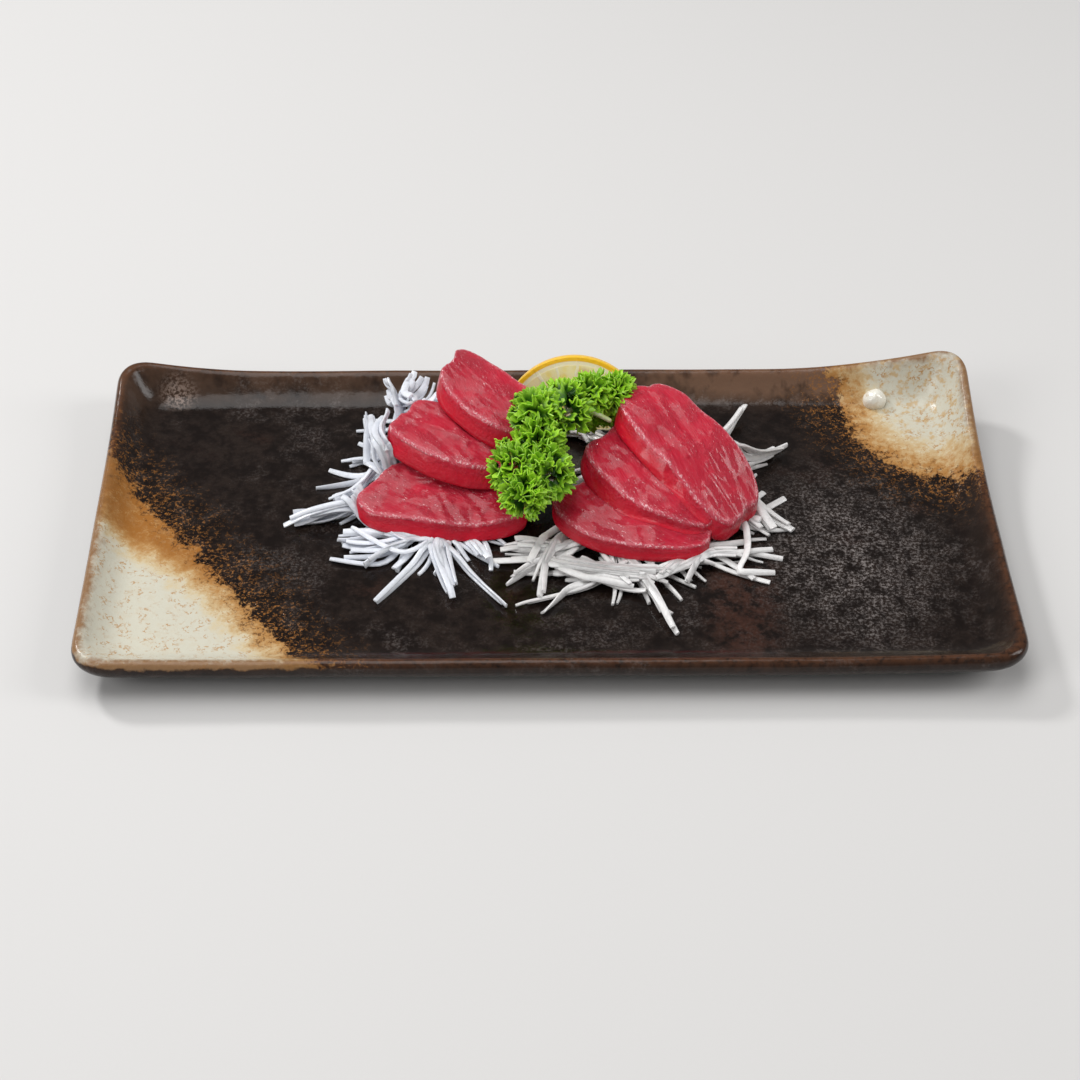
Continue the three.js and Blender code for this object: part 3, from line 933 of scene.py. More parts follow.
def tuna_material(tuna):
    fish = Finish("tuna_flesh")
    s, v, level = [fish.attribute(name) for name in SLICE_MARKS]
    # the slice's own place, roughly in mm, with its second axis across the fibres
    own = fish.join(s * 28, v * 13 + s * 9, level * 9)

    clouds = fish.noise(0.05, 1, 0.5)
    cluster = fish.noise(0.15, 2, 0.5)
    fibres = fish.noise(0.5, 3, 0.7, where=fish.stretch(own, (0.3, 2.4, 1.0)))
    stipple = fish.noise(1.1, 3, 0.8, where=fish.stretch(own, (0.7, 1.3, 1.0)))
    streaks = fish.noise(1.3, 3, 0.8, where=fish.stretch(own, (0.35, 1.3, 1.0)))

    # where the top face, the cut sides and the ridge between them are
    top = level.step(0.93, 0.99)
    side = level.step(0.92, 0.5)
    ridge = level.step(0.86, 0.95) * level.step(1.0, 0.985)
    body = fish.mix(clouds.step(0.3, 0.7) * 0.55, tuna.flesh, tuna.deep)
    body = fish.mix(top * 0.5, body, tuna.top)
    body = fish.mix(side * 0.5, body, tuna.side)
    body = fish.mix(fibres.step(0.4, 0.9) * (0.24 - 0.14 * side), body, tuna.pale)
    # painted highlights: pale specks in clusters on the tops, fewer on the sides
    painted_specks = stipple.step(0.48, 0.72) * cluster.step(0.25, 0.8) * (0.4 - 0.32 * side)
    body = fish.mix(painted_specks, body, tuna.pale)
    # painted highlight: a pale line along the ridge between the top and the sides
    body = fish.mix(ridge * 0.4, body, tuna.pale)
    # painted highlights: glints of light on wet juice, in streaks on the top and in beads on the ridge
    painted_glint = streaks.step(0.62, 0.7) * cluster.step(0.38, 0.62) * top
    painted_glint = painted_glint + stipple.step(0.53, 0.62) * ridge * 0.7
    body = fish.mix(painted_glint.at_most(1.0) * 0.8, body, tuna.wet)
    wet = cluster.step(0.35, 0.6).at_least(ridge)
    relief = fibres * 0.3 + stipple * (0.08 + 0.4 * wet) * (1 - 0.7 * side) + clouds * 0.3
    return fish.surface(
        {
            "Base Color": body,
            "Roughness": 0.42 - wet * 0.12,
            "Specular IOR Level": 0.22,
            "Coat Weight": 0.25 + 0.6 * wet,
            "Coat Roughness": 0.1,
            "Coat IOR": 1.38,
            "Subsurface Weight": 0.12,
            "Subsurface Radius": (1.0, 0.06, 0.05),
            "Subsurface Scale": 2.0 * MM,
            "Normal": fish.bump(relief, 1.4 * MM, 1.0),
        }
    )


class SASHIMI_OT_tuna(bpy.types.Operator):
    """Builds the two fans of tuna slices"""

    bl_idname = "sashimi.tuna"
    bl_label = "Tuna slices"

    def execute(self, context):
        material = tuna_material(context.scene.sashimi_tuna)
        for side in SIDES:
            below = []
            for number, cut in enumerate(FANS[side]):
                piece = build_slice(cut, 3.7 * number + len(side), below)
                below.append(surface_of(piece))
                dress(piece, material, "tuna", cut["name"])
        return {"FINISHED"}


def surface_of(*pieces):
    """A tree of the pieces' faces for finding heights."""
    points, faces = [], []
    for piece in pieces:
        base = len(points)
        points += [point.co.copy() for point in piece.data.vertices]
        faces += [[base + i for i in face.vertices] for face in piece.data.polygons]
    return BVHTree.FromPolygons(points, faces)


# ---- radish -------------------------------------------------------------------------------------

# Bundles of shreds that stick out of each heap: the way they lie from under the fish to their tips,
# how many shreds there are, how far they spread and how high above what is under them their tips
# stand. Lengths are in mm.
BUNDLES = {
    "left": (
        (((-45, 6), (-60, 4), (-84, 0)), 9, 3.5, 0.5),
        (((-54, 18), (-63, 12), (-74, 8)), 4, 2.5, 0.5),
        (((-42, -8), (-52, -13), (-69, -13)), 9, 4, 0.5),
        (((-44, -12), (-52, -17), (-61, -23)), 2, 1.5, 0.5),
        (((-36, -10), (-42, -19), (-56, -40)), 2, 1, 0.5),
        (((-42, -12), (-47, -20), (-51, -26)), 1, 1, 0.5),
        (((-34, -8), (-35, -18), (-31, -39)), 6, 2.5, 0.5),
        (((-38, -10), (-28, -23), (-13, -44)), 2, 0.7, 0.5),
        (((-31, -6), (-24, -10), (-15, -8)), 5, 2.5, 1),
        (((-28, -8), (-24, -15), (-20, -21)), 4, 2, 0.5),
        (((-44, 34), (-48, 46), (-43, 58)), 9, 3, 16),
        (((-50, 38), (-52, 48), (-55, 58)), 5, 2, 11),
        (((-54, 16), (-58, 28), (-61, 49)), 9, 3, 4),
        (((-48, 8), (-56, 20), (-54, 36)), 9, 4, 2),
        (((-38, -6), (-52, -6), (-66, 8)), 12, 4, 0.5),
        (((-32, -8), (-46, -12), (-58, 0)), 8, 4, 0.5),
        (((-14, 40), (-20, 52), (-24, 58)), 5, 5, 1),
    ),
    "right": (
        (((28, -22), (14, -33), (-13, -43)), 2, 0.7, 0.5),
        (((18, -28), (6, -36), (-2, -45)), 1, 0.5, 0.5),
        (((14, -12), (0, -18), (-12, -18)), 11, 4.5, 0.5),
        (((6, -20), (-6, -25), (-15, -32)), 3, 1.5, 0.5),
        (((8, -2), (2, -12), (-6, -32)), 3, 1.5, 0.5),
        (((4, -14), (0, -24), (-2, -38)), 2, 1.5, 0.5),
        (((-2, -24), (14, -29), (32, -33)), 10, 3.5, 0.5),
        (((4, -20), (20, -28), (40, -30)), 7, 3, 0.5),
        (((16, -14), (19, -24), (26, -35)), 2, 1, 0.5),
        (((24, -16), (29, -26), (40, -53)), 3, 1, 0.5),
        (((54, -18), (46, -24), (34, -31)), 4, 2, 0.5),
        (((50, -16), (49, -24), (44, -36)), 2, 1, 0.5),
        (((46, -16), (44, -23), (38, -31)), 4, 2, 1),
        (((60, 8), (70, 4), (83, -8)), 2, 1, 0.5),
        (((62, 6), (69, 3), (76, -8)), 3, 1.5, 0.5),
        (((58, 2), (64, -2), (71, -8)), 3, 2, 0.5),
        (((60, 2), (66, -7), (66, -20), (63, -28), (75, -27)), 1, 0.5, 0),
        (((56, 18), (67, 22), (84, 37)), 4, 1.5, 0.5),
        (((52, 28), (61, 40), (71, 57)), 4, 1.5, 3),
        (((40, 34), (34, 42), (26, 50)), 7, 4, 2),
        (((20, 36), (14, 44), (2, 50)), 6, 4, 1),
    ),
}
# The middle of each heap and how far its loose shreds reach from it, in mm.
HEAPS = {"left": ((-31, 19), (22, 28)), "right": ((39, 5), (24, 31))}
GROUND_X = (-96, 96)  # the area that the heaps' height maps cover, in mm
GROUND_Y = (-64, 70)
CORE_SHARE = 0.86  # of the reach of the loose shreds
CORE_HEIGHT = 27 * MM
CORE_CLEARANCE = 2.5 * MM  # between the core and the fish over it
OPEN_SKY = 1000  # mm: the roof over a place that nothing covers
TANGLE_LENGTHS = (18, 34)  # mm
TANGLE_CURL = 0.012  # radians of turn per mm, typically
NESTING = 0.75  # share of a shred's half thickness that holds up the next one
SHRED_STEP = 2.2  # mm between the points of a shred
SHRED_SECTION = 8
FRONT_CEILING = 12  # mm: how high shreds pile up in front of the fish
FRONT_EDGE = -9  # mm: where the front of the fish lies


class Ground:
    """Height maps over the plate: what shreds lie on, and what lies over them."""

    def __init__(self, floor, solids, covers):
        low = Vector((0, 0, -1))
        up = Vector((0, 0, 1))
        self.floor = floor / MM
        self.top = {}
        self.roof = {}
        for x in range(GROUND_X[0], GROUND_X[1] + 1):
            for y in range(GROUND_Y[0], GROUND_Y[1] + 1):
                place = Vector((x, y, 0)) * MM
                hit = solids.ray_cast(place + Vector((0, 0, 0.1)), low)[0]
                self.top[x, y] = max(self.floor, hit.z / MM if hit else self.floor)
                hit = covers.ray_cast(place + Vector((0, 0, floor)), up)[0]
                self.roof[x, y] = hit.z / MM if hit else OPEN_SKY

    def cell(self, x, y):
        column = min(max(round(x), GROUND_X[0]), GROUND_X[1])
        row = min(max(round(y), GROUND_Y[0]), GROUND_Y[1])
        return column, row

    def lay(self, path, half):
        """Heights for a flat path: on what is there, bridging hollows, and under what covers it."""
        cells = [self.cell(x, y) for x, y in path]
        heights = [self.top[cell] + half for cell in cells]
        for _ in range(3):
            heights = [
                max(height, (heights[max(i - 1, 0)] + heights[min(i + 1, len(heights) - 1)]) / 2)
                for i, height in enumerate(heights)
            ]
        limits = [
            min(self.roof[cell] - half, FRONT_CEILING if cell[1] < FRONT_EDGE else OPEN_SKY)
            for cell in cells
        ]
        heights = [max(min(h, limit), self.floor + half) for h, limit in zip(heights, limits)]
        eased = heights[:]
        for i in range(1, len(heights) - 1):
            eased[i] = (heights[i - 1] + 2 * heights[i] + heights[i + 1]) / 4
        for (x, y), cell, height in zip(path, cells, eased):
            for dx in (-1, 0, 1):
                for dy in (-1, 0, 1):
                    near = self.cell(x + dx, y + dy)
                    self.top[near] = max(self.top[near], height + half * NESTING)
        return [Vector((x, y, height)) for (x, y), height in zip(path, eased)]


def shred(work, points, width, thickness, roll, twist, taper):
    """Adds one shred along its points: a soft-cornered strip, narrower at its tip."""
    last = len(points) - 1
    rings = []
    for i, at in enumerate(points):
        ahead = points[min(i + 1, last)] - points[max(i - 1, 0)]
        ahead.normalize()
        side = ahead.cross(Vector((0, 0, 1)))
        side.normalize()
        up = side.cross(ahead)
        turn = roll + twist * i / last
        flat = side * math.cos(turn) + up * math.sin(turn)
        thin = up * math.cos(turn) - side * math.sin(turn)
        part = i / last
        grow = 1 - taper * max(0.0, (part - 0.7) / 0.3) ** 2 - 0.25 * max(0.0, 1 - part / 0.06)
        ring = []
        for k in range(SHRED_SECTION):
            around = 2 * math.pi * (k + 0.5) / SHRED_SECTION
            c, d = math.cos(around), math.sin(around)
            reach = (abs(c) ** 4 + abs(d) ** 4) ** -0.25
            out = flat * (c * reach * width / 2 * grow) + thin * (d * reach * thickness / 2 * grow)
            ring.append(work.verts.new((at + out) * MM))
        rings.append(ring)
    for first, second in zip(rings, rings[1:]):
        for k in range(SHRED_SECTION):
            after = (k + 1) % SHRED_SECTION
            work.faces.new((first[k], second[k], second[after], first[after]))
    work.faces.new(rings[0])
    work.faces.new(rings[-1][::-1])
    return [point for ring in rings for point in ring]


def bundle_path(rng, way, spread):
    """A shred's flat path along its bundle's way, a little beside it."""
    aside = Vector((rng.gauss(0, 0.5), rng.gauss(0, 0.5))) * spread
    stops = []
    for i, stop in enumerate(way):
        loose = Vector((rng.gauss(0, 0.35), rng.gauss(0, 0.35))) * spread
        stops.append(Vector(stop) + aside * (0.6 + 0.4 * i) + loose)
    if len(stops) == 3:
        stops[0] = stops[0].lerp(stops[1], rng.uniform(0.0, 0.5))
        stops[2] = stops[1].lerp(stops[2], rng.uniform(0.72, 1.06))
    path = []
    last = len(stops) - 1
    for i in range(last):
        before, here = stops[max(i - 1, 0)], stops[i]
        there, after = stops[i + 1], stops[min(i + 2, last)]
        steps = max(2, round((there - here).length / SHRED_STEP))
        for k in range(steps + (i == last - 1)):
            t = k / steps
            ease = (there - before) * 0.5
            settle = (after - here) * 0.5
            path.append(
                here * (2 * t ** 3 - 3 * t * t + 1) + ease * (t ** 3 - 2 * t * t + t)
                + there * (3 * t * t - 2 * t ** 3) + settle * (t ** 3 - t * t)
            )
    return path


def tangle_path(rng, start, heading, long, curl):
    """A shred's flat path that wanders from its start."""
    path = [Vector(start)]
    bend = rng.gauss(0, curl)
    for _ in range(round(long / SHRED_STEP)):
        heading += bend * SHRED_STEP
        bend += rng.gauss(0, curl * 0.35)
        path.append(path[-1] + Vector((math.cos(heading), math.sin(heading))) * SHRED_STEP)
    return path


def heap_spots(rng, side, number):
    """Places for loose shreds, spread over the heap, with their turn about its middle."""
    middle, reach = HEAPS[side]
    spots = []
    for _ in range(number):
        turn = rng.uniform(0, 2 * math.pi)
        out = math.sqrt(rng.uniform(0.02, 1))
        x = middle[0] + math.cos(turn) * reach[0] * out
        y = middle[1] + math.sin(turn) * reach[1] * out
        spots.append((Vector((x, y)), turn))
    return spots


def in_box(path, low, high):
    """Whether a flat path in mm stays inside a box in metres."""
    return all(low.x < x * MM < high.x and low.y < y * MM < high.y for x, y in path)


def build_shreds(radish, side, ground):
    rng = random.Random(11 if side == "left" else 29)
    low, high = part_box("radish_" + side)
    width, thickness = radish.width / MM, radish.thickness / MM
    half = thickness / 2

    def add(work, points, wide, bright):
        made = shred(
            work, points, width * wide * rng.uniform(0.7, 1.2), thickness * rng.uniform(0.8, 1.2),
            rng.uniform(-0.5, 0.5), rng.gauss(0, 0.9), rng.uniform(0.0, 0.35),
        )
        tone = work.verts.layers.float["tone"]
        for point in made:
            point[tone] = bright

    def build(work):
        work.verts.layers.float.new("tone")
        for at, turn in heap_spots(rng, side, radish.tangle):
            heading = turn + math.pi / 2 + rng.gauss(0, 0.6)
            path = tangle_path(rng, at, heading, rng.uniform(*TANGLE_LENGTHS), TANGLE_CURL)
            if not in_box(path, low, high):
                continue
            points = ground.lay(path, half)
            if any(ground.roof[ground.cell(point.x, point.y)] == OPEN_SKY for point in points):
                add(work, points, 0.9, rng.uniform(0.2, 0.8))
        for way, shreds, spread, rise in BUNDLES[side]:
            dimmest = 0.6 if shreds < 5 else 0.2
            for _ in range(shreds):
                points = ground.lay(bundle_path(rng, way, spread), half)
                last = len(points) - 1
                tip = rise * rng.uniform(0.6, 1.0)
                for i, point in enumerate(points):
                    point.z += tip * (i / last) ** 2
                add(work, points, 1.1, rng.uniform(dimmest, 1))

    piece = mesh_piece("radish_" + side + "_shreds", build)
    smooth(piece, 50)
    return piece


def build_core(side, floor, covers):
    """The heap's core: a low dome that gives way under the fish."""
    middle, reach = HEAPS[side]
    deselect()
    bpy.ops.mesh.primitive_uv_sphere_add(segments=96, ring_count=60, radius=1)
    piece = take("radish_" + side + "_core")
    edit(piece)
    bpy.ops.mesh.select_all(action="SELECT")
    bpy.ops.mesh.bisect(plane_co=(0, 0, 0), plane_no=(0, 0, 1), use_fill=True, clear_inner=True)
    leave_edit()
    up = Vector((0, 0, 1))
    for point in piece.data.vertices:
        x, y, z = point.co
        across = middle[0] + x * reach[0] * CORE_SHARE
        along = middle[1] + y * reach[1] * CORE_SHARE
        place = Vector((across, along, 0)) * MM
        place.z = floor + 0.4 * MM
        height = CORE_HEIGHT * z ** 1.3 * (1 + 0.1 * noise.noise(place / (3 * MM)))
        hit = covers.ray_cast(place, up)[0]
        if hit is not None:
            height = min(height, max(0, hit.z - place.z - CORE_CLEARANCE))
        place.z += height
        point.co = place
    smooth(piece, 80)
    return piece


def radish_material(radish, side):
    white = Finish("radish_" + side)
    # the right heap's warmer white is painted shade with a reddish cast of light
    tint = radish.cool if side == "left" else radish.warm
    streak = white.noise(0.5, 3, 0.6)
    vein = white.noise(2.2, 2, 0.6)
    tone = white.attribute("tone")
    body = white.mix(tone, tint * 0.78, tint)
    body = white.mix(streak.step(0.4, 0.75) * 0.4, body, tint * 0.65)
    return white.surface(
        {
            "Base Color": body,
            "Roughness": 0.18 + 0.12 * vein,
            "Subsurface Weight": 0.5,
            "Subsurface Radius": (1.0, 0.97, 0.95),
            "Subsurface Scale": 2.6 * MM,
            "Normal": white.bump(streak * 0.5 + vein * 0.3, 0.35 * MM, 0.5),
        }
    )


class SASHIMI_OT_radish(bpy.types.Operator):
    """Builds the two heaps of shredded radish"""

    bl_idname = "sashimi.radish"
    bl_label = "Shredded radish"

    def execute(self, context):
        scene = context.scene
        radish = scene.sashimi_radish
        names = [cut["name"] + "_flesh" for side in SIDES for cut in FANS[side]]
        covers = surface_of(*[scene.objects[name] for name in (*names, "lemon_half_slice")])
        floor = scene.sashimi_plate.floor
        cores = {side: build_core(side, floor, covers) for side in SIDES}
        for side in SIDES:
            material = radish_material(radish, side)
            ground = Ground(floor, surface_of(cores[side]), covers)
            shreds = build_shreds(radish, side, ground)
            dress(shreds, material, "radish", "radish_" + side)
            dress(cores[side], material, "radish")
        return {"FINISHED"}


# ---- parsley ------------------------------------------------------------------------------------

# The sprig's curly heads: middle and radius of each, in mm.
HEADS = (
    (-8, -13, 31, 8), (-11, -4, 34, 9), (-1, -3, 32, 9.5), (-3, 7, 35, 9.5), (-3, 18, 39.5, 9.5),
    (6, 22, 38.5, 10), (15, 30, 38.5, 7.5), (23, 32, 37.5, 7), (14, 31, 30, 5), (21, 33, 30, 5),
)
# Loose leaflets beside the sprig, on the left fan.
STRAYS = ((-10.5, 25, 40.5, 1.6), (-10.5, 20, 39.5, 1.2), (-14.5, 8, 35.5, 1.4), (-10, 14.5, 38.5, 1.6))
STRAY_LEAVES = 6
STRAY_SHARE = 0.42  # of the length of the sprig's own leaflets
LEAF_ACROSS = 20
LEAF_ALONG = 4
TEETH = 2.5


def leaflet(work, tone, edge, rng, base, out, long):
    """Adds one curled leaflet: a fan-shaped blade that leans over, with a frilled, toothed edge."""
    out = out.normalized()
    stray = Vector((rng.gauss(0, 1), rng.gauss(0, 1), rng.gauss(0, 1)))
    lean = out.cross(stray).normalized()
    grow = (out + lean * rng.uniform(0.2, 1.1)).normalized()
    side = grow.cross(out + stray * 0.12).normalized()
    face = side.cross(grow)
    wide = long * rng.uniform(0.65, 0.9)
    phase, waves = rng.uniform(0, 6.28), rng.choice((1.5, 2, 2.5))
    curl = rng.uniform(-0.5, 0.3)
    shade = rng.random()
    rows = []
    for j in range(LEAF_ALONG + 1):
        v = j / LEAF_ALONG
        row = []
        for i in range(LEAF_ACROSS + 1):
            u = 2 * i / LEAF_ACROSS - 1
            ruffle = math.sin(waves * math.pi * u + phase)
            tooth = 1 + 0.2 * math.cos(2 * math.pi * TEETH * u + phase) * v * v
            spread = wide * (0.16 + 0.84 * v ** 0.7) * math.sin(u * 1.4) * tooth
            reach = long * v * (0.4 + 0.6 * math.cos(u * 1.4)) * tooth
            frill = 0.24 * long * v ** 1.5 * ruffle
            at = base + side * spread + grow * reach + face * (frill + curl * long * v * v)
            point = work.verts.new(at)
            point[tone] = shade
            point[edge] = v ** 1.5
            row.append(point)
        rows.append(row)
    for low, high in zip(rows, rows[1:]):
        for i in range(LEAF_ACROSS):
            work.faces.new((low[i], low[i + 1], high[i + 1], high[i]))


def build_parsley(parsley):
    rng = random.Random(5)
    golden = math.pi * (3 - math.sqrt(5))

    def build(work):
        tone = work.verts.layers.float.new("tone")
        edge = work.verts.layers.float.new("edge")
        heads = [(head, parsley.leaves, 1) for head in HEADS]
        heads += [(head, STRAY_LEAVES, STRAY_SHARE) for head in STRAYS]
        for (x, y, z, radius), leaves, size in heads:
            middle = Vector((x, y, z)) * MM
            for n in range(leaves):
                height = 1 - 1.75 * (n + 0.5) / leaves
                ring = math.sqrt(1 - height * height)
                turn = golden * n + rng.uniform(-0.3, 0.3)
                out = Vector((ring * math.cos(turn), ring * math.sin(turn), height))
                out += Vector((rng.gauss(0, 0.22), rng.gauss(0, 0.22), rng.gauss(0, 0.22)))
                long = size * parsley.leaf * rng.uniform(0.75, 1.25)
                start = max(0.1 * MM, radius * MM * rng.uniform(0.86, 1.04) - long * 0.85)
                leaflet(work, tone, edge, rng, middle + out.normalized() * start, out, long)

    piece = mesh_piece("parsley_sprig", build)
    finish_modifier(piece, "SOLIDIFY", thickness=0.3 * MM, offset=0.0)
    smooth(piece)
    return piece


def parsley_material(parsley):
    leaf = Finish("parsley_leaf")
    tone = leaf.attribute("tone")
    edge = leaf.attribute("edge")
    mottle = leaf.noise(0.8, 3, 0.6)
    # painted shade in the hearts of the leaflets, turning to painted light at their frilled edges
    body = leaf.mix(edge.step(0.2, 0.95), parsley.deep, parsley.bright)
    body = leaf.mix(tone.step(0.3, 1.0) * 0.5, body, parsley.middle)
    # painted highlights in patches along the edges
    tips = mottle.step(0.42, 0.7) * edge.step(0.4, 0.9) * 0.45
    body = leaf.mix(tips, body, parsley.tips)
    return leaf.surface(
        {
            "Base Color": body,
            "Roughness": 0.34 + 0.2 * mottle,
            "Subsurface Weight": 0.18,
            "Subsurface Radius": (0.6, 1.0, 0.15),
            "Subsurface Scale": 1.0 * MM,
            "Normal": leaf.bump(mottle, 0.15 * MM, 0.4),
        }
    )


def stem_material(parsley):
    stalk = Finish("parsley_stem")
    mottle = stalk.noise(0.6, 3, 0.6)
    body = stalk.mix(mottle.step(0.35, 0.7), parsley.stem, parsley.cut)
    return stalk.surface(
        {"Base Color": body, "Roughness": 0.38 + 0.1 * mottle, "Subsurface Weight": 0.2,
         "Subsurface Scale": 1.0 * MM}
    )


def build_stems():
    """The stalk under the heads, and the pale stub that sticks out beside them."""
    runs = (
        ((-8, -12, 28), (-5, 2, 29), (-1, 14, 33), (6, 24, 36), (18, 30, 35)),
        ((10, 24, 36.5), (14.5, 23.4, 36.6), (18, 22, 35.8), (21.8, 20.6, 34.4)),
    )

    def build(work):
        for run in runs:
            points = []
            for first, second in zip(run, run[1:]):
                points += [Vector(first).lerp(Vector(second), k / 3) for k in range(3)]
            points.append(Vector(run[-1]))
            shred(work, points, 1.9, 1.7, 0.0, 0.4, 0.1)

    piece = mesh_piece("parsley_stalk", build)
    finish_modifier(piece, "SUBSURF", levels=1, render_levels=1)
    smooth(piece)
    return piece


class SASHIMI_OT_parsley(bpy.types.Operator):
    """Builds the sprig of curly parsley"""

    bl_idname = "sashimi.parsley"
    bl_label = "Parsley"

    def execute(self, context):
        parsley = context.scene.sashimi_parsley
        dress(build_parsley(parsley), parsley_material(parsley), "parsley", "parsley")
        dress(build_stems(), stem_material(parsley), "parsley")
        return {"FINISHED"}


# ---- lemon --------------------------------------------------------------------------------------

LEMON_AT = Vector((10.5, 45.5, 11.6)) * MM
PEEL = 1.7 * MM
PITH = 3.0 * MM
SEGMENTS = 10
# painted shade: where the dark behind the slice shows through its flesh
SHADE_SPOT = ((2.5, 19.5), (3.2, 3.2))  # an oval on the slice's face, in mm


def lemon_frame(lemon):
    """The slice's own axes: X along its cut edge, Y up its face and Z to its back."""
    return Euler((lemon.stand, 0, lemon.roll), "XYZ").to_matrix().to_4x4()


def build_lemon(lemon):
    deselect()
    bpy.ops.mesh.primitive_cylinder_add(
        vertices=160, radius=lemon.radius, depth=lemon.thickness, end_fill_type="NGON"
    )
    piece = take("lemon_half_slice")
    edit(piece)
    bpy.ops.mesh.select_all(action="SELECT")
    bpy.ops.mesh.bisect(
        plane_co=(0, 0, 0), plane_no=(0, 1, 0), use_fill=True, clear_inner=True
    )
    bpy.ops.mesh.select_all(action="SELECT")
    bpy.ops.mesh.remove_doubles(threshold=0.1 * MM)
    leave_edit()
    finish_modifier(piece, "BEVEL", width=0.5 * MM, segments=3, limit_method="ANGLE")
    turned = lemon_frame(lemon)
    for point in piece.data.vertices:
        point.co = LEMON_AT + turned @ point.co
    smooth(piece, 40)
    return piece


def lemon_material(lemon):
    fruit = Finish("lemon")
    own = fruit.node(
        "ShaderNodeMapping",
        {"vector_type": "TEXTURE"},
        {"Vector": fruit.place, "Location": LEMON_AT, "Rotation": lemon_frame(lemon).to_euler()},
    )
    x = fruit.split(own, "X") / MM
    y = fruit.split(own, "Y") / MM
    out = (x * x + y * y).root()
    rim = lemon.radius / MM
    turn = y.math("ARCTAN2", x)
    wobble = fruit.noise(0.12, 2, 0.5)
    lobe = (turn * (SEGMENTS / math.pi) + (wobble - 0.5) * 0.6).math("FRACT")
    from_membrane = (lobe - 0.5).math("ABSOLUTE")
    near_membrane = (0.5 - from_membrane) * out
    membrane = near_membrane.step(2.2, 1.0).at_least(out.step(4, 2.2))
    juice = fruit.cells(0.9, where=fruit.join(turn * 9, out * 0.32, 0.0))
    cells = fruit.mix(juice.step(0.15, 0.7), lemon.flesh, lemon.light)
    body = fruit.mix(membrane * 0.85, cells, lemon.skin)
    # painted shade: a brownish place where the dark behind shows through the flesh
    shaded_spot = fruit.oval(x, y, *SHADE_SPOT).step(0.0, 0.8) * 0.6
    body = fruit.mix(shaded_spot, body, lemon.stain)
    in_pith = (out + (wobble - 0.5) * 0.8).step(rim - PITH / MM - 0.3, rim - PITH / MM + 0.3)
    body = fruit.mix(in_pith, body, lemon.pith)
    in_peel = out.step(rim - PEEL / MM - 0.15, rim - PEEL / MM + 0.25)
    body = fruit.mix(in_peel, body, lemon.peel)
    pores = fruit.cells(0.9)
    relief = juice * (1 - in_pith) * 0.5 + pores * in_peel * 0.4 + membrane * 0.3
    return fruit.surface(
        {
            "Base Color": body,
            "Roughness": 0.22 + 0.25 * in_pith,
            "Subsurface Weight": 0.25,
            "Subsurface Radius": (1.0, 0.8, 0.3),
            "Subsurface Scale": 2.0 * MM,
            "Coat Weight": 0.2,
            "Normal": fruit.bump(relief, 0.4 * MM, 0.5),
        }
    )


class SASHIMI_OT_lemon(bpy.types.Operator):
    """Builds the half slice of lemon"""

    bl_idname = "sashimi.lemon"
    bl_label = "Lemon slice"

    def execute(self, context):
        lemon = context.scene.sashimi_lemon
        dress(build_lemon(lemon), lemon_material(lemon), "lemon", "lemon_slice")
        return {"FINISHED"}


# ---- stage --------------------------------------------------------------------------------------

TARGET = Vector((-2.6, -11.4, 10)) * MM
# Soft boxes: where they hang, their width and depth, and their power; all point at the plate.
LIGHTS = (
    ("overhead", (-0.2, 0.05, 1.2), (1.2, 0.7), 8),
    ("key", (-0.85, 0.7, 1.0), (0.22, 0.22), 9),
    ("front_left", (-1.1, -0.7, 0.9), (0.7, 0.7), 7),
    ("right", (1.1, -0.1, 0.8), (0.4, 0.8), 6),
)


def build_floor(stage):
    deselect()
    bpy.ops.mesh.primitive_plane_add(size=6)
    piece = take("studio_floor")
    paper = Finish("studio_paper")
    tooth = paper.noise(0.8, 3, 0.6)
    piece.data.materials.append(
        paper.surface(
            {
                "Base Color": paper.mix(tooth * 0.06, stage.floor, stage.tooth),
                "Roughness": 0.75,
                "Normal": paper.bump(tooth, 0.05 * MM, 0.2),
            }
        )
    )


def build_lights(stage):
    world = bpy.data.worlds.new("studio_room")
    world.use_nodes = True
    background = world.node_tree.nodes["Background"]
    background.inputs["Color"].default_value = (1.0, 1.0, 1.0, 1.0)
    background.inputs["Strength"].default_value = stage.world
    bpy.context.scene.world = world
    for name, place, (wide, deep), power in LIGHTS:
        deselect()
        bpy.ops.object.light_add(type="AREA", location=place)
        lamp = bpy.context.object
        lamp.name = name
        lamp.data.shape = "RECTANGLE"
        lamp.data.size, lamp.data.size_y = wide, deep
        lamp.data.energy = power
        lamp.rotation_euler = (TARGET - Vector(place)).to_track_quat("-Z", "Y").to_euler()


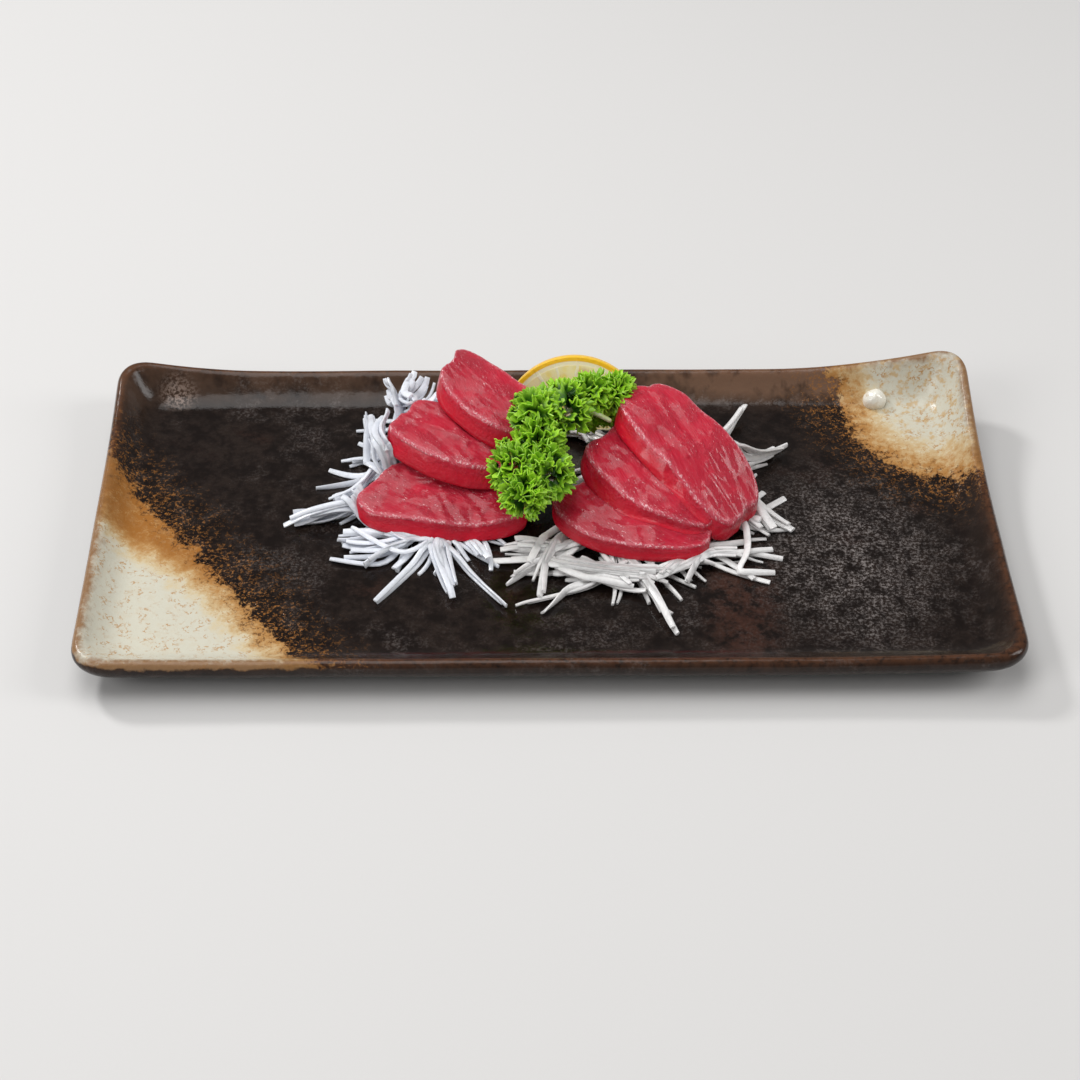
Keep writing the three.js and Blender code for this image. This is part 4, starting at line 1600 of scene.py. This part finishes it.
def build_camera(stage):
    turn, rise = stage.azimuth, stage.elevation
    back = Vector((math.sin(turn) * math.cos(rise), -math.cos(turn) * math.cos(rise), math.sin(rise)))
    deselect()
    bpy.ops.object.camera_add(location=TARGET + back * stage.distance)
    camera = bpy.context.object
    camera.name = "studio_camera"
    looking = back.to_track_quat("Z", "Y").to_matrix() @ Matrix.Rotation(stage.roll, 3, "Z")
    camera.rotation_euler = looking.to_euler()
    camera.data.sensor_width = 36
    camera.data.lens = stage.lens / MM
    camera.data.clip_start = 0.01
    bpy.context.scene.camera = camera


class SASHIMI_OT_stage(bpy.types.Operator):
    """Builds the floor, the lights and the camera"""

    bl_idname = "sashimi.stage"
    bl_label = "Stage"

    def execute(self, context):
        stage = context.scene.sashimi_stage
        build_floor(stage)
        build_lights(stage)
        build_camera(stage)
        context.scene.view_settings.view_transform = "Standard"
        return {"FINISHED"}


# ---- add-on -------------------------------------------------------------------------------------

SETTINGS = {
    "sashimi_plate": PlateSettings,
    "sashimi_tuna": TunaSettings,
    "sashimi_radish": RadishSettings,
    "sashimi_parsley": ParsleySettings,
    "sashimi_lemon": LemonSettings,
    "sashimi_stage": StageSettings,
}
OPERATORS = (
    SASHIMI_OT_plate,
    SASHIMI_OT_tuna,
    SASHIMI_OT_lemon,
    SASHIMI_OT_radish,
    SASHIMI_OT_parsley,
    SASHIMI_OT_stage,
)


class SASHIMI_PT_panel(bpy.types.Panel):
    """Lists the pieces and their settings"""

    bl_idname = "SASHIMI_PT_panel"
    bl_label = "Sashimi Plate"
    bl_space_type = "VIEW_3D"
    bl_region_type = "UI"
    bl_category = "Sashimi"

    def draw(self, context):
        for operator in OPERATORS:
            self.layout.operator(operator.bl_idname)
        for name in SETTINGS:
            box = self.layout.box()
            box.label(text=name.removeprefix("sashimi_").title())
            group = getattr(context.scene, name)
            for key in group.__annotations__:
                box.prop(group, key)


def register():
    for name, group in SETTINGS.items():
        bpy.utils.register_class(group)
        setattr(bpy.types.Scene, name, bpy.props.PointerProperty(type=group))
    for operator in OPERATORS:
        bpy.utils.register_class(operator)
    bpy.utils.register_class(SASHIMI_PT_panel)


def unregister():
    bpy.utils.unregister_class(SASHIMI_PT_panel)
    for operator in reversed(OPERATORS):
        bpy.utils.unregister_class(operator)
    for name, group in reversed(SETTINGS.items()):
        delattr(bpy.types.Scene, name)
        bpy.utils.unregister_class(group)


def main():
    register()
    for operator in OPERATORS:
        group, action = operator.bl_idname.split(".")
        getattr(getattr(bpy.ops, group), action)()


if __name__ == "__main__":
    main()
